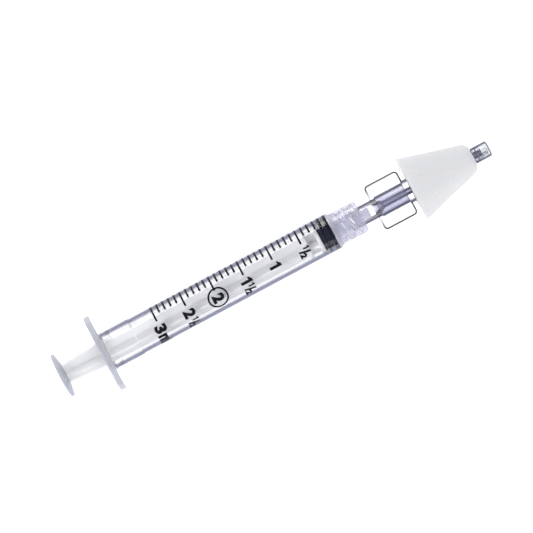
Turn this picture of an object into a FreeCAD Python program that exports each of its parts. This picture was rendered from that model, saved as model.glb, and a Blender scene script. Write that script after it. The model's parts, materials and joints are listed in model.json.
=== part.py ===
import FreeCAD, Part
import math
import os
import re

import Sketcher

# A three-millilitre luer-lock syringe with a winged nasal atomiser screwed onto it.
#
# Everything is drawn in place. The long axis is X and runs from the thumb rest to the
# spray tip, the finger flange and the atomiser's wings spread along Y, and Z is up.
# The origin is on the long axis, at the zero line of the barrel's scale.

# Each driving size is a cell of the sheet: alias, value in millimetres (or a count, or
# degrees where the name says so), and what it is.
SIZES = [
    # barrel
    ("bore_radius", 4.33, "inside of the barrel, 8.66 mm across"),
    ("barrel_radius", 4.95, "outside of the barrel"),
    ("cuff_radius", 5.125, "thicker cuff at the open end"),
    ("cuff_end_x", -57.9, "where the cuff starts to slope down to the barrel"),
    ("cuff_slope", 0.5, "length of that slope"),
    ("mouth_x", -67.7, "open end of the barrel, flush with the flange"),
    ("mouth_radius", 4.65, "flared opening"),
    ("bead_x", -63.9, "middle of the bead that keeps the stopper in"),
    ("bead_width", 1.0, "bead, along the axis"),
    ("bead_height", 0.13, "bead, above the bore"),
    ("end_wall_x", 0.35, "inner face of the front wall"),
    ("shoulder_x", 0.8, "front end of the full barrel diameter"),
    ("shoulder_length", 0.7, "slope from the barrel to the lock collar"),
    # finger flange
    ("flange_reach", 10.75, "half the long way across"),
    ("flange_half_width", 6.2, "half the short way across"),
    ("flange_thickness", 1.65, "along the axis"),
    ("flange_corner", 1.2, "rounding of the four corners"),
    ("flange_edge", 0.45, "rounding of the rim"),
    ("flange_root", 0.7, "fillet between flange and barrel"),
    # luer lock end of the barrel
    ("collar_radius", 4.4, "outside of the lock collar"),
    ("collar_end_x", 8.95, "front of the lock collar"),
    ("collar_edge", 0.3, "rounding at the front of the collar"),
    ("socket_floor_x", 1.6, "bottom of the space round the nozzle"),
    ("thread_root_radius", 4.0, "inside of the collar between the threads"),
    ("thread_crest_radius", 3.5, "inside of the collar at the thread crests"),
    ("thread_root_half", 0.5, "half the thread's width at its root"),
    ("thread_crest_half", 0.2, "half the thread's width at its crest"),
    ("thread_lead", 5.0, "advance in one turn"),
    ("thread_starts", 2, "number of threads"),
    ("thread_start_x", 2.1, "middle of the thread where it begins"),
    ("thread_turns", 1.24, "turns of each thread"),
    ("thread_bite", 0.15, "how far the thread is rooted in the collar wall"),
    ("nozzle_tip_x", 11.2, "front of the tapered nozzle"),
    ("nozzle_tip_radius", 1.985, "nozzle at its tip"),
    ("luer_slope", 0.03, "six per cent luer taper, as radius per length"),
    ("nozzle_bore_radius", 1.0, "passage through the nozzle"),
    # printed scale
    ("line_pitch", 1.6978, "bore length that holds 0.1 mL"),
    ("line_count", 31, "lines from 0 to 3 mL"),
    ("line_width", 0.46, "line, along the axis"),
    ("ink_thickness", 0.03, "ink film on the barrel"),
    ("line_outer_deg", 102, "far end of every line, from the top of the barrel"),
    ("short_line_deg", 32, "near end of a short line"),
    ("long_line_deg", 10.5, "near end of a half-millilitre line"),
    ("lines_per_long", 5, "every fifth line is long"),
    # plunger rod
    ("thumb_x", -80.1, "outer face of the thumb rest"),
    ("thumb_radius", 6.1, "thumb rest"),
    ("thumb_flat_radius", 3.6, "flat middle of the thumb rest"),
    ("thumb_rim_x", -79.85, "outer face at the rim"),
    ("thumb_inner_x", -78.95, "inner face at the rim"),
    ("thumb_boss_x", -78.3, "front of the boss under the thumb rest"),
    ("thumb_boss_radius", 2.3, "that boss"),
    ("thumb_edge", 0.35, "rounding of the rim"),
    ("rib_thickness", 1.0, "each of the four ribs"),
    ("rib_thumb_radius", 2.5, "rib height at the thumb rest"),
    ("rib_knee_x", -76.0, "where the ribs start to widen"),
    ("rib_knee_radius", 2.75, "rib height there"),
    ("rib_full_x", -68.0, "where the ribs reach full height"),
    ("rib_full_radius", 3.5, "full rib height"),
    ("rod_turn_deg", 31, "how the cross of ribs is turned from the flange"),
    ("guide_x", -7.7, "back of the thin guide disc"),
    ("guide_thickness", 0.8, "guide disc"),
    ("guide_radius", 3.9, "guide disc"),
    ("head_disc_x", -4.4, "back of the disc behind the stopper"),
    ("head_disc_radius", 4.05, "that disc"),
    ("neck_radius", 1.3, "neck of the snap head"),
    ("barb_x", -2.45, "back of the barb"),
    ("barb_radius", 2.0, "barb"),
    ("barb_length", 0.5, "full width of the barb"),
    ("head_tip_x", -0.95, "front of the snap head"),
    ("head_tip_radius", 1.2, "front of the snap head"),
    # stopper
    ("stopper_back_x", -3.3, "back of the stopper"),
    ("stopper_tail_radius", 3.85, "its back edge"),
    ("stopper_skirt_x", -2.5, "where the tail meets the rear ring"),
    ("rear_ring_x", -1.7, "front of the rear ring"),
    ("front_ring_x", -0.8, "back of the front ring"),
    ("waist_radius", 4.0, "groove between the rings"),
    ("ring_gap", 0.02, "sealing ring to bore, and front to end wall"),
    ("ring_edge", 0.12, "rounding of the sealing rings"),
    ("socket_gap", 0.05, "snap head to its socket in the stopper"),
    # atomiser body
    ("hub_back_x", 5.35, "open end of the hub, inside the collar"),
    ("hub_radius", 2.58, "hub"),
    ("taper_gap", 0.02, "hub bore to nozzle"),
    ("taper_end_x", 12.6, "bottom of the tapered bore"),
    ("funnel_end_x", 15.4, "end of the funnel behind the tapered bore"),
    ("channel_radius", 0.6, "spray channel"),
    ("lug_radius", 3.88, "outside of the two lock lugs"),
    ("lug_thickness", 0.8, "lug, along the axis"),
    ("lug_half_deg", 14, "half the lug's width as an angle"),
    ("stem_x", 14.0, "step from hub to stem"),
    ("stem_radius", 2.85, "stem"),
    ("plug_seat_x", 22.0, "step up to the seat behind the plug"),
    ("plug_seat_radius", 3.3, "seat behind the plug"),
    ("plug_seat_end_x", 23.6, "front of the seat"),
    ("spindle_radius", 1.75, "stem inside the plug"),
    ("tip_collar_x", 42.0, "back of the collar in front of the plug"),
    ("tip_collar_radius", 2.15, "that collar, as wide as the spray tip"),
    ("spigot_x", 43.0, "front of the collar, where the spray tip begins"),
    ("spigot_radius", 1.5, "spigot inside the spray tip"),
    ("spigot_end_x", 44.3, "front of the spigot"),
    # wings
    ("wing_back_x", 12.75, "back edge of the wings"),
    ("wing_front_x", 22.5, "front edge of the wings"),
    ("wing_reach", 6.38, "half the span"),
    ("wing_thickness", 1.0, "wing plate"),
    ("wing_corner", 1.1, "rounding of the wing corners"),
    # nasal plug
    ("plug_back_x", 23.7, "base of the plug"),
    ("plug_base_radius", 9.05, "base of the plug"),
    ("plug_mid_x", 30.5, "where the cone becomes a little steeper"),
    ("plug_mid_radius", 6.95, "radius there"),
    ("plug_front_x", 41.9, "front of the plug"),
    ("plug_front_radius", 3.86, "cone carried on to the front"),
    ("plug_nose", 2.15, "rounding of the nose"),
    ("plug_gap", 0.05, "plug to stem"),
    # spray tip and swirl insert
    ("tip_front_x", 46.6, "front of the spray tip"),
    ("tip_radius", 2.15, "spray tip"),
    ("tip_edge", 0.45, "rounding at its front"),
    ("tip_wall", 0.7, "front wall"),
    ("orifice_radius", 0.15, "spray hole"),
    ("swirl_radius", 1.45, "swirl insert"),
    ("swirl_gap", 0.05, "swirl insert to spigot and front wall"),
    ("swirl_slot_width", 0.5, "feed slots down its side"),
    ("swirl_slot_depth", 0.5, "feed slots, from the side inwards"),
    ("swirl_slots", 3, "number of feed slots"),
]

ALIASES = {alias for alias, _, _ in SIZES}


def make_sheet(doc):
    """Put every driving size into one sheet: name, value, meaning."""
    sheet = doc.addObject("Spreadsheet::Sheet", "sizes")
    for row, (alias, value, meaning) in enumerate(SIZES, start=1):
        sheet.set(f"A{row}", alias)
        sheet.set(f"B{row}", str(value))
        sheet.set(f"C{row}", meaning)
        sheet.setAlias(f"B{row}", alias)
    doc.recompute()
    return sheet


def linked(text):
    """The expression with each alias pointed at the sheet."""
    return re.sub(r"[a-z_]+", lambda m: f"sizes.{m[0]}" if m[0] in ALIASES else m[0], text)


def value_of(doc, text):
    """The number that an expression of aliases has now."""
    return float(doc.sizes.evalExpression(text))


def bind(feature, prop, text):
    """Tie one property of a feature to the sheet."""
    feature.setExpression(prop, linked(text))


def new_body(doc, name):
    """An empty body whose label is the node's name."""
    body = doc.addObject("PartDesign::Body", name)
    body.Label = name
    return body


def new_sketch(body, plane, name):
    """A sketch on one of the body's own origin planes."""
    sketch = body.newObject("Sketcher::SketchObject", name)
    support = next(f for f in body.Origin.OriginFeatures if f.Role == plane)
    sketch.AttachmentSupport = [(support, "")]
    sketch.MapMode = "FlatFace"
    return sketch


def tie_point(sketch, geometry, end, across, up):
    """Hold one end of a sketch line at a place that the sheet gives."""
    doc = sketch.Document
    for kind, text in (("DistanceX", across), ("DistanceY", up)):
        size = value_of(doc, text)
        index = sketch.addConstraint(Sketcher.Constraint(kind, -1, 1, geometry, end, size))
        bind(sketch, f"Constraints[{index}]", text)


def draw_outline(sketch, corners):
    """A closed chain of straight lines through corners given as pairs of expressions."""
    doc = sketch.Document
    places = [FreeCAD.Vector(value_of(doc, x), value_of(doc, y), 0) for x, y in corners]
    first = sketch.GeometryCount
    count = len(places)
    for k, place in enumerate(places):
        sketch.addGeometry(Part.LineSegment(place, places[(k + 1) % count]))
    for k, (across, up) in enumerate(corners):
        following = first + (k + 1) % count
        sketch.addConstraint(Sketcher.Constraint("Coincident", first + k, 2, following, 1))
        tie_point(sketch, first + k, 1, across, up)


def draw_sector(sketch, inner, outer, low_deg, high_deg):
    """A piece of a ring round the sketch's origin, between two radii and two angles."""
    doc = sketch.Document
    low = math.radians(value_of(doc, low_deg))
    high = math.radians(value_of(doc, high_deg))
    origin = FreeCAD.Vector(0, 0, 0)
    up = FreeCAD.Vector(0, 0, 1)
    radii = [value_of(doc, inner), value_of(doc, outer)]
    for radius in radii:
        sketch.addGeometry(Part.ArcOfCircle(Part.Circle(origin, up, radius), low, high))
    for angle in (low, high):
        ends = [FreeCAD.Vector(r * math.cos(angle), r * math.sin(angle), 0) for r in radii]
        sketch.addGeometry(Part.LineSegment(*ends))
    for line, end in ((2, 1), (3, 2)):
        sketch.addConstraint(Sketcher.Constraint("Coincident", line, 1, 0, end))
        sketch.addConstraint(Sketcher.Constraint("Coincident", line, 2, 1, end))
    ties = (
        (1, "DistanceX", "cos", low_deg),
        (1, "DistanceY", "sin", low_deg),
        (2, "DistanceY", "sin", high_deg),
    )
    for arc, radius in ((0, inner), (1, outer)):
        sketch.addConstraint(Sketcher.Constraint("Coincident", arc, 3, -1, 1))
        for end, kind, turn, angle in ties:
            place = f"({radius}) * {turn}(({angle}) * 1 deg)"
            number = value_of(doc, place)
            index = sketch.addConstraint(Sketcher.Constraint(kind, -1, 1, arc, end, number))
            bind(sketch, f"Constraints[{index}]", place)


def draw_circle(sketch, radius):
    """A full circle round the sketch's origin."""
    size = value_of(sketch.Document, radius)
    circle = Part.Circle(FreeCAD.Vector(0, 0, 0), FreeCAD.Vector(0, 0, 1), size)
    index = sketch.addGeometry(circle)
    sketch.addConstraint(Sketcher.Constraint("Coincident", index, 3, -1, 1))
    tie = sketch.addConstraint(Sketcher.Constraint("Radius", index, size))
    bind(sketch, f"Constraints[{tie}]", radius)


def turn_profile(body, name, corners, cut=False):
    """A solid of revolution about X, or a groove, from a section of (x, radius) corners."""
    sketch = new_sketch(body, "XY_Plane", f"{name}_section")
    draw_outline(sketch, corners)
    kind = "PartDesign::Groove" if cut else "PartDesign::Revolution"
    feature = body.newObject(kind, name)
    feature.Profile = sketch
    feature.ReferenceAxis = (sketch, ["H_Axis"])
    feature.Angle = 360
    sketch.Document.recompute()
    return feature


def pad_sketch(body, name, sketch, length, midplane=False):
    """A prism on a sketch."""
    pad = body.newObject("PartDesign::Pad", name)
    pad.Profile = sketch
    if midplane:
        pad.SideType = "Symmetric"
    bind(pad, "Length", length)
    body.Document.recompute()
    return pad


def shift_sketch(sketch, distance):
    """Move a sketch along its own normal."""
    bind(sketch, "AttachmentOffset.Base.z", distance)


def repeat_round(body, name, feature, sketch, count):
    """Copies of a feature spread evenly round the X axis."""
    pattern = body.newObject("PartDesign::PolarPattern", name)
    pattern.Originals = [feature]
    pattern.Axis = (sketch, ["H_Axis"])
    pattern.Angle = 360
    bind(pattern, "Occurrences", count)
    body.Tip = pattern
    body.Document.recompute()
    return pattern


def ring_edges(feature, x, radius):
    """Names of the circular edges with this radius round the X axis at this x."""
    doc = feature.Document
    x_now = value_of(doc, x)
    radius_now = value_of(doc, radius)
    names = []
    for number, edge in enumerate(feature.Shape.Edges, start=1):
        curve = edge.Curve
        if not isinstance(curve, Part.Circle):
            continue
        same_place = abs(curve.Center.x - x_now) < 1e-4
        if same_place and abs(curve.Radius - radius_now) < 1e-4:
            names.append(f"Edge{number}")
    return names


def round_edges(body, name, feature, names, radius):
    """A fillet on named edges of a feature."""
    if not names:
        raise RuntimeError(f"{name} found no edge")
    fillet = body.newObject("PartDesign::Fillet", name)
    fillet.Base = (feature, names)
    bind(fillet, "Radius", radius)
    body.Document.recompute()
    return fillet


def edges_where(feature, wanted):
    """Names of a feature's edges that pass a test."""
    return [
        f"Edge{number}"
        for number, edge in enumerate(feature.Shape.Edges, start=1)
        if wanted(edge)
    ]


def nozzle_radius(x):
    """Radius of the tapered nozzle at a place along the axis, as an expression."""
    return f"nozzle_tip_radius + luer_slope * (nozzle_tip_x - ({x}))"


def make_barrel(doc):
    """Tube, finger flange, tapered nozzle and threaded collar: one clear moulding."""
    body = new_body(doc, "barrel")
    shell = turn_profile(body, "barrel_shell", [
        ("mouth_x", "mouth_radius"),
        ("mouth_x", "cuff_radius"),
        ("cuff_end_x", "cuff_radius"),
        ("cuff_end_x + cuff_slope", "barrel_radius"),
        ("shoulder_x", "barrel_radius"),
        ("shoulder_x + shoulder_length", "collar_radius"),
        ("collar_end_x", "collar_radius"),
        ("collar_end_x", "thread_root_radius"),
        ("socket_floor_x", "thread_root_radius"),
        ("socket_floor_x", nozzle_radius("socket_floor_x")),
        ("nozzle_tip_x", "nozzle_tip_radius"),
        ("nozzle_tip_x", "nozzle_bore_radius"),
        ("end_wall_x", "nozzle_bore_radius"),
        ("end_wall_x", "bore_radius"),
        ("bead_x + bead_width / 2", "bore_radius"),
        ("bead_x + bead_width / 8", "bore_radius - bead_height"),
        ("bead_x - bead_width / 8", "bore_radius - bead_height"),
        ("bead_x - bead_width / 2", "bore_radius"),
    ])
    front = ring_edges(shell, "collar_end_x", "collar_radius")
    round_edges(body, "collar_front", shell, front, "collar_edge")
    make_flange(doc, body)
    make_thread(body)
    return body


def make_flange(doc, body):
    """Two finger ears: a disc with two flat sides, rounded all over."""
    sketch = new_sketch(body, "YZ_Plane", "flange_outline")
    shift_sketch(sketch, "mouth_x")
    reach = value_of(doc, "flange_reach")
    half = value_of(doc, "flange_half_width")
    lift = math.asin(half / reach)
    circle = Part.Circle(FreeCAD.Vector(0, 0, 0), FreeCAD.Vector(0, 0, 1), reach)
    side = reach * math.cos(lift)
    sketch.addGeometry(Part.ArcOfCircle(circle, -lift, lift))
    sketch.addGeometry(Part.ArcOfCircle(circle, math.pi - lift, math.pi + lift))
    for level in (half, -half):
        ends = (FreeCAD.Vector(side, level, 0), FreeCAD.Vector(-side, level, 0))
        sketch.addGeometry(Part.LineSegment(*ends))
    for line, right_end, left_end in ((2, 2, 1), (3, 1, 2)):
        sketch.addConstraint(Sketcher.Constraint("Coincident", line, 1, 0, right_end))
        sketch.addConstraint(Sketcher.Constraint("Coincident", line, 2, 1, left_end))
        sketch.addConstraint(Sketcher.Constraint("Horizontal", line))
    for arc in (0, 1):
        sketch.addConstraint(Sketcher.Constraint("Coincident", arc, 3, -1, 1))
        tie = sketch.addConstraint(Sketcher.Constraint("Radius", arc, reach))
        bind(sketch, f"Constraints[{tie}]", "flange_reach")
    for line, text in ((2, "flange_half_width"), (3, "-flange_half_width")):
        level = value_of(doc, text)
        tie = sketch.addConstraint(Sketcher.Constraint("DistanceY", -1, 1, line, 1, level))
        bind(sketch, f"Constraints[{tie}]", text)
    draw_circle(sketch, "(mouth_radius + cuff_radius) / 2")
    flange = pad_sketch(body, "finger_flange", sketch, "flange_thickness")
    beyond = value_of(doc, "cuff_radius") + 1

    def is_corner(edge):
        along_x = isinstance(edge.Curve, Part.Line) and abs(edge.Curve.Direction.x) > 0.99
        middle = edge.CenterOfMass
        return along_x and math.hypot(middle.y, middle.z) > beyond

    upright = edges_where(flange, is_corner)
    corners = round_edges(body, "flange_corners", flange, upright, "flange_corner")
    faces = (value_of(doc, "mouth_x"), value_of(doc, "mouth_x + flange_thickness"))

    def is_rim(edge):
        spread = edge.BoundBox
        flat = spread.XLength < 1e-6 and min(abs(spread.XMin - x) for x in faces) < 1e-6
        reach = max(abs(y) for y in (spread.YMin, spread.YMax, spread.ZMin, spread.ZMax))
        return flat and reach > beyond

    rim = round_edges(body, "flange_rim", corners, edges_where(corners, is_rim), "flange_edge")
    root = ring_edges(rim, "mouth_x + flange_thickness", "cuff_radius")
    return round_edges(body, "flange_fillet", rim, root, "flange_root")


def make_thread(body):
    """The two-start internal thread of the lock collar."""
    root = "thread_root_radius + thread_bite"
    sketch = new_sketch(body, "XY_Plane", "thread_section")
    draw_outline(sketch, [
        ("thread_start_x - thread_root_half", root),
        ("thread_start_x + thread_root_half", root),
        ("thread_start_x + thread_crest_half", "thread_crest_radius"),
        ("thread_start_x - thread_crest_half", "thread_crest_radius"),
    ])
    helix = body.newObject("PartDesign::AdditiveHelix", "lock_thread")
    helix.Profile = sketch
    helix.ReferenceAxis = (sketch, ["H_Axis"])
    helix.Mode = "pitch-turns-angle"
    bind(helix, "Pitch", "thread_lead")
    bind(helix, "Turns", "thread_turns")
    body.Document.recompute()
    return repeat_round(body, "lock_threads", helix, sketch, "thread_starts")


def make_scale(doc):
    """The inked lines of the scale, as thin arcs on the barrel."""
    body = new_body(doc, "scale_print")
    body.AllowCompound = True
    outer = "barrel_radius + ink_thickness"
    rows = (
        ("short", "90 - line_outer_deg", "90 - short_line_deg", "line_pitch", "line_count"),
        ("long", "90 - short_line_deg", "90 - long_line_deg", "line_pitch * lines_per_long",
         "(line_count - 1) / lines_per_long + 1"),
    )
    for name, low, high, pitch, count in rows:
        sketch = new_sketch(body, "YZ_Plane", f"{name}_line_section")
        shift_sketch(sketch, "-line_width / 2")
        draw_sector(sketch, "barrel_radius", outer, low, high)
        line = pad_sketch(body, f"{name}_line", sketch, "line_width")
        pattern = body.newObject("PartDesign::LinearPattern", f"{name}_lines")
        pattern.Originals = [line]
        pattern.Direction = (sketch, ["N_Axis"])
        pattern.Reversed = True
        bind(pattern, "Length", f"({pitch}) * (({count}) - 1)")
        bind(pattern, "Occurrences", count)
        body.Tip = pattern
        doc.recompute()
    return body


def make_rod(doc):
    """Plunger rod: thumb rest, four ribs, two discs and the head that snaps into the stopper."""
    body = new_body(doc, "plunger_rod")
    bind(body, "Placement.Rotation.Angle", "rod_turn_deg * 1 deg")
    bind(body, "Placement.Rotation.Axis.x", "1")
    bind(body, "Placement.Rotation.Axis.z", "0")
    thumb = turn_profile(body, "thumb_rest", [
        ("thumb_x", "0"),
        ("thumb_x", "thumb_flat_radius"),
        ("thumb_rim_x", "thumb_radius"),
        ("thumb_inner_x", "thumb_radius"),
        ("thumb_boss_x", "thumb_boss_radius"),
        ("thumb_boss_x", "0"),
    ])
    rim = ring_edges(thumb, "thumb_rim_x", "thumb_radius")
    rim += ring_edges(thumb, "thumb_inner_x", "thumb_radius")
    round_edges(body, "thumb_rim", thumb, rim, "thumb_edge")
    for plane in ("XY_Plane", "XZ_Plane"):
        sketch = new_sketch(body, plane, f"rib_outline_{plane[:2].lower()}")
        near = [
            ("thumb_boss_x - 0.3", "rib_thumb_radius"),
            ("rib_knee_x", "rib_knee_radius"),
            ("rib_full_x", "rib_full_radius"),
            ("head_disc_x + 0.1", "rib_full_radius"),
        ]
        far = [(x, f"-{radius}") for x, radius in reversed(near)]
        draw_outline(sketch, near + far)
        pad_sketch(body, f"ribs_{plane[:2].lower()}", sketch, "rib_thickness", midplane=True)
    turn_profile(body, "guide_disc", [
        ("guide_x", "0"),
        ("guide_x", "guide_radius"),
        ("guide_x + guide_thickness", "guide_radius"),
        ("guide_x + guide_thickness", "0"),
    ])
    front = "stopper_back_x - socket_gap"
    turn_profile(body, "snap_head", [
        ("head_disc_x", "0"),
        ("head_disc_x", "head_disc_radius"),
        (front, "head_disc_radius"),
        (front, "neck_radius"),
        ("barb_x", "neck_radius"),
        ("barb_x", "barb_radius"),
        ("barb_x + barb_length", "barb_radius"),
        ("head_tip_x", "head_tip_radius"),
        ("head_tip_x", "0"),
    ])
    return body


def make_stopper(doc):
    """Rubber stopper: two sealing rings, a tapered tail and the socket for the rod's head."""
    body = new_body(doc, "stopper")
    seal = "bore_radius - ring_gap"
    face = "end_wall_x - ring_gap"
    rubber = turn_profile(body, "stopper_rubber", [
        ("stopper_back_x", "0"),
        ("stopper_back_x", "stopper_tail_radius"),
        ("stopper_skirt_x", "waist_radius"),
        ("stopper_skirt_x", seal),
        ("rear_ring_x", seal),
        ("rear_ring_x", "waist_radius"),
        ("front_ring_x", "waist_radius"),
        ("front_ring_x", seal),
        (face, seal),
        (face, "0"),
    ])
    rings = []
    for x in ("stopper_skirt_x", "rear_ring_x", "front_ring_x", face):
        rings += ring_edges(rubber, x, seal)
    round_edges(body, "ring_rounding", rubber, rings, "ring_edge")
    turn_profile(body, "head_socket", [
        ("stopper_back_x", "0"),
        ("stopper_back_x", "neck_radius + socket_gap"),
        ("barb_x - socket_gap", "neck_radius + socket_gap"),
        ("barb_x - socket_gap", "barb_radius + socket_gap"),
        ("barb_x + barb_length + socket_gap", "barb_radius + socket_gap"),
        ("head_tip_x + socket_gap", "head_tip_radius + socket_gap"),
        ("head_tip_x + socket_gap", "0"),
    ], cut=True)
    return body


def make_atomizer_body(doc):
    """Clear moulding of the atomiser: lock lugs, hub, wings, stem and the spigot for the tip."""
    body = new_body(doc, "atomizer_body")
    turn_profile(body, "hub_and_stem", [
        ("hub_back_x", "0"),
        ("hub_back_x", "hub_radius"),
        ("stem_x", "hub_radius"),
        ("stem_x", "stem_radius"),
        ("plug_seat_x", "stem_radius"),
        ("plug_seat_x", "plug_seat_radius"),
        ("plug_seat_end_x", "plug_seat_radius"),
        ("plug_seat_end_x", "spindle_radius"),
        ("tip_collar_x", "spindle_radius"),
        ("tip_collar_x", "tip_collar_radius"),
        ("spigot_x", "tip_collar_radius"),
        ("spigot_x", "spigot_radius"),
        ("spigot_end_x", "spigot_radius"),
        ("spigot_end_x", "0"),
    ])
    plate = new_sketch(body, "XY_Plane", "wing_outline")
    draw_outline(plate, [
        ("wing_back_x", "-wing_reach"),
        ("wing_front_x", "-wing_reach"),
        ("wing_front_x", "wing_reach"),
        ("wing_back_x", "wing_reach"),
    ])
    wings = pad_sketch(body, "wings", plate, "wing_thickness", midplane=True)
    tip_y = value_of(doc, "wing_reach")

    def is_wing_corner(edge):
        upright = isinstance(edge.Curve, Part.Line) and abs(edge.Curve.Direction.z) > 0.99
        return upright and abs(abs(edge.CenterOfMass.y) - tip_y) < 1e-4

    corners = edges_where(wings, is_wing_corner)
    round_edges(body, "wing_corners", wings, corners, "wing_corner")
    lug_outline = new_sketch(body, "YZ_Plane", "lug_outline")
    shift_sketch(lug_outline, "hub_back_x")
    draw_sector(lug_outline, "hub_radius - 0.2", "lug_radius", "-lug_half_deg", "lug_half_deg")
    lug = pad_sketch(body, "lock_lug", lug_outline, "lug_thickness")
    repeat_round(body, "lock_lugs", lug, plate, "thread_starts")
    mouth = nozzle_radius("hub_back_x") + " + taper_gap"
    floor = nozzle_radius("taper_end_x") + " + taper_gap"
    turn_profile(body, "spray_channel", [
        ("hub_back_x", "0"),
        ("hub_back_x", mouth),
        ("taper_end_x", floor),
        ("funnel_end_x", "channel_radius"),
        ("spigot_end_x", "channel_radius"),
        ("spigot_end_x", "0"),
    ], cut=True)
    return body


def make_nasal_plug(doc):
    """Soft cone that seals the nostril, with a straight bore for the stem."""
    body = new_body(doc, "nasal_plug")
    hole = "spindle_radius + plug_gap"
    cone = turn_profile(body, "cone", [
        ("plug_back_x", hole),
        ("plug_back_x", "plug_base_radius"),
        ("plug_mid_x", "plug_mid_radius"),
        ("plug_front_x", "plug_front_radius"),
        ("plug_front_x", hole),
    ])
    nose = ring_edges(cone, "plug_front_x", "plug_front_radius")
    round_edges(body, "nose", cone, nose, "plug_nose")
    return body


def make_spray_tip(doc):
    """Cap at the front, with the fine spray hole."""
    body = new_body(doc, "spray_tip")
    inner_face = "tip_front_x - tip_wall"
    cap = turn_profile(body, "cap", [
        ("spigot_x", "spigot_radius"),
        ("spigot_x", "tip_radius"),
        ("tip_front_x", "tip_radius"),
        ("tip_front_x", "orifice_radius"),
        (inner_face, "orifice_radius"),
        (inner_face, "spigot_radius"),
    ])
    rim = ring_edges(cap, "tip_front_x", "tip_radius")
    round_edges(body, "cap_edge", cap, rim, "tip_edge")
    return body


def make_swirl_insert(doc):
    """Small plug inside the tip whose side slots make the liquid spin."""
    body = new_body(doc, "swirl_insert")
    back = "spigot_end_x + swirl_gap"
    front = "tip_front_x - tip_wall - swirl_gap"
    turn_profile(body, "core", [
        (back, "0"),
        (back, "swirl_radius"),
        (front, "swirl_radius"),
        (front, "0"),
    ])
    sketch = new_sketch(body, "XY_Plane", "slot_outline")
    draw_outline(sketch, [
        (back, "swirl_radius - swirl_slot_depth"),
        (front, "swirl_radius - swirl_slot_depth"),
        (front, "swirl_radius + swirl_slot_depth"),
        (back, "swirl_radius + swirl_slot_depth"),
    ])
    slot = body.newObject("PartDesign::Pocket", "feed_slot")
    slot.Profile = sketch
    slot.SideType = "Symmetric"
    bind(slot, "Length", "swirl_slot_width")
    doc.recompute()
    repeat_round(body, "feed_slots", slot, sketch, "swirl_slots")
    return body


def check_document(doc, bodies):
    """Stop if any feature failed or any piece isn't a sound solid."""
    for item in doc.Objects:
        if "Invalid" in item.State or "Error" in item.State:
            raise RuntimeError(f"{item.Label} failed: {item.State}")
    for body in bodies:
        shape = body.Shape
        if shape.isNull() or not shape.isValid() or not shape.Solids:
            raise RuntimeError(f"{body.Label} is not a sound solid")


def main():
    """Build every piece, check it and write it."""
    doc = FreeCAD.newDocument("nasal_syringe")
    make_sheet(doc)
    bodies = [
        make_barrel(doc),
        make_scale(doc),
        make_rod(doc),
        make_stopper(doc),
        make_atomizer_body(doc),
        make_nasal_plug(doc),
        make_spray_tip(doc),
        make_swirl_insert(doc),
    ]
    doc.recompute()
    check_document(doc, bodies)
    os.makedirs("parts", exist_ok=True)
    for body in bodies:
        body.Shape.exportStep(f"parts/{body.Label}.step")
        box = body.Shape.BoundBox
        print(f"{body.Label}: {len(body.Shape.Solids)} solid, {body.Shape.Volume:.2f} mm3, "
              f"x {box.XMin:.2f} to {box.XMax:.2f}")


main()
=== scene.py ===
import json
import logging
import math
from dataclasses import dataclass
from enum import Enum

import bmesh
import bpy
import numpy as np
from mathutils import Matrix, Vector

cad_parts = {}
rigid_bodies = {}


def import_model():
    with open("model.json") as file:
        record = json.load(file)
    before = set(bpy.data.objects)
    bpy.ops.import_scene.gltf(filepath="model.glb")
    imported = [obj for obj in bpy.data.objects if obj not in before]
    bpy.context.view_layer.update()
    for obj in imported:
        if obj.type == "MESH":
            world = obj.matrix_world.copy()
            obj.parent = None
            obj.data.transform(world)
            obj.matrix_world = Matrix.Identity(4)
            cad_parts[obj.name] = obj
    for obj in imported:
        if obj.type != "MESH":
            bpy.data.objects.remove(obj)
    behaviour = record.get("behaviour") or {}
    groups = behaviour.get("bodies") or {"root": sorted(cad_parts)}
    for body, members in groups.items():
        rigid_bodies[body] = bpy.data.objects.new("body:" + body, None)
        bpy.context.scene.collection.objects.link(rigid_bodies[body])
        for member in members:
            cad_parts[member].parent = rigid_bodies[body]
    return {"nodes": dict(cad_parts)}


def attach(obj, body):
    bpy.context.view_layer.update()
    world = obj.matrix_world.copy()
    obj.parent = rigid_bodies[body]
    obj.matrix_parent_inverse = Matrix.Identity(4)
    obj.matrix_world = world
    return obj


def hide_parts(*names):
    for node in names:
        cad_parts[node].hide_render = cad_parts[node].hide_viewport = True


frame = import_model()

LOG = logging.getLogger("syringe")
MM = 0.001
ROUND = 192
ARC_STEP = math.radians(13)
NOISE_RANGE = (0.3, 0.7)
TINY = 1e-6
Array = np.ndarray
Colour = tuple[float, float, float]
Pair = tuple[float, float]
Socket = bpy.types.NodeSocket | float


class Body(Enum):
    """The moving bodies that pieces ride on."""

    BARREL = "barrel"
    STOPPER = "stopper"
    ROD = "plunger_rod"
    PLUG = "nasal_plug"
    ATOMIZER = "atomizer"


class Slot(Enum):
    """The record's material slots."""

    CLEAR_BARREL = "clear_barrel"
    INK = "ink"
    WHITE_ROD = "white_rod"
    BLACK_RUBBER = "black_rubber"
    CLEAR_ATOMIZER = "clear_atomizer"
    WHITE_FOAM = "white_foam"


class Mix(Enum):
    """How a second solid is combined with the first."""

    ADD = "UNION"
    CUT = "DIFFERENCE"


# ---------------------------------------------------------------- surfaces


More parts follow.
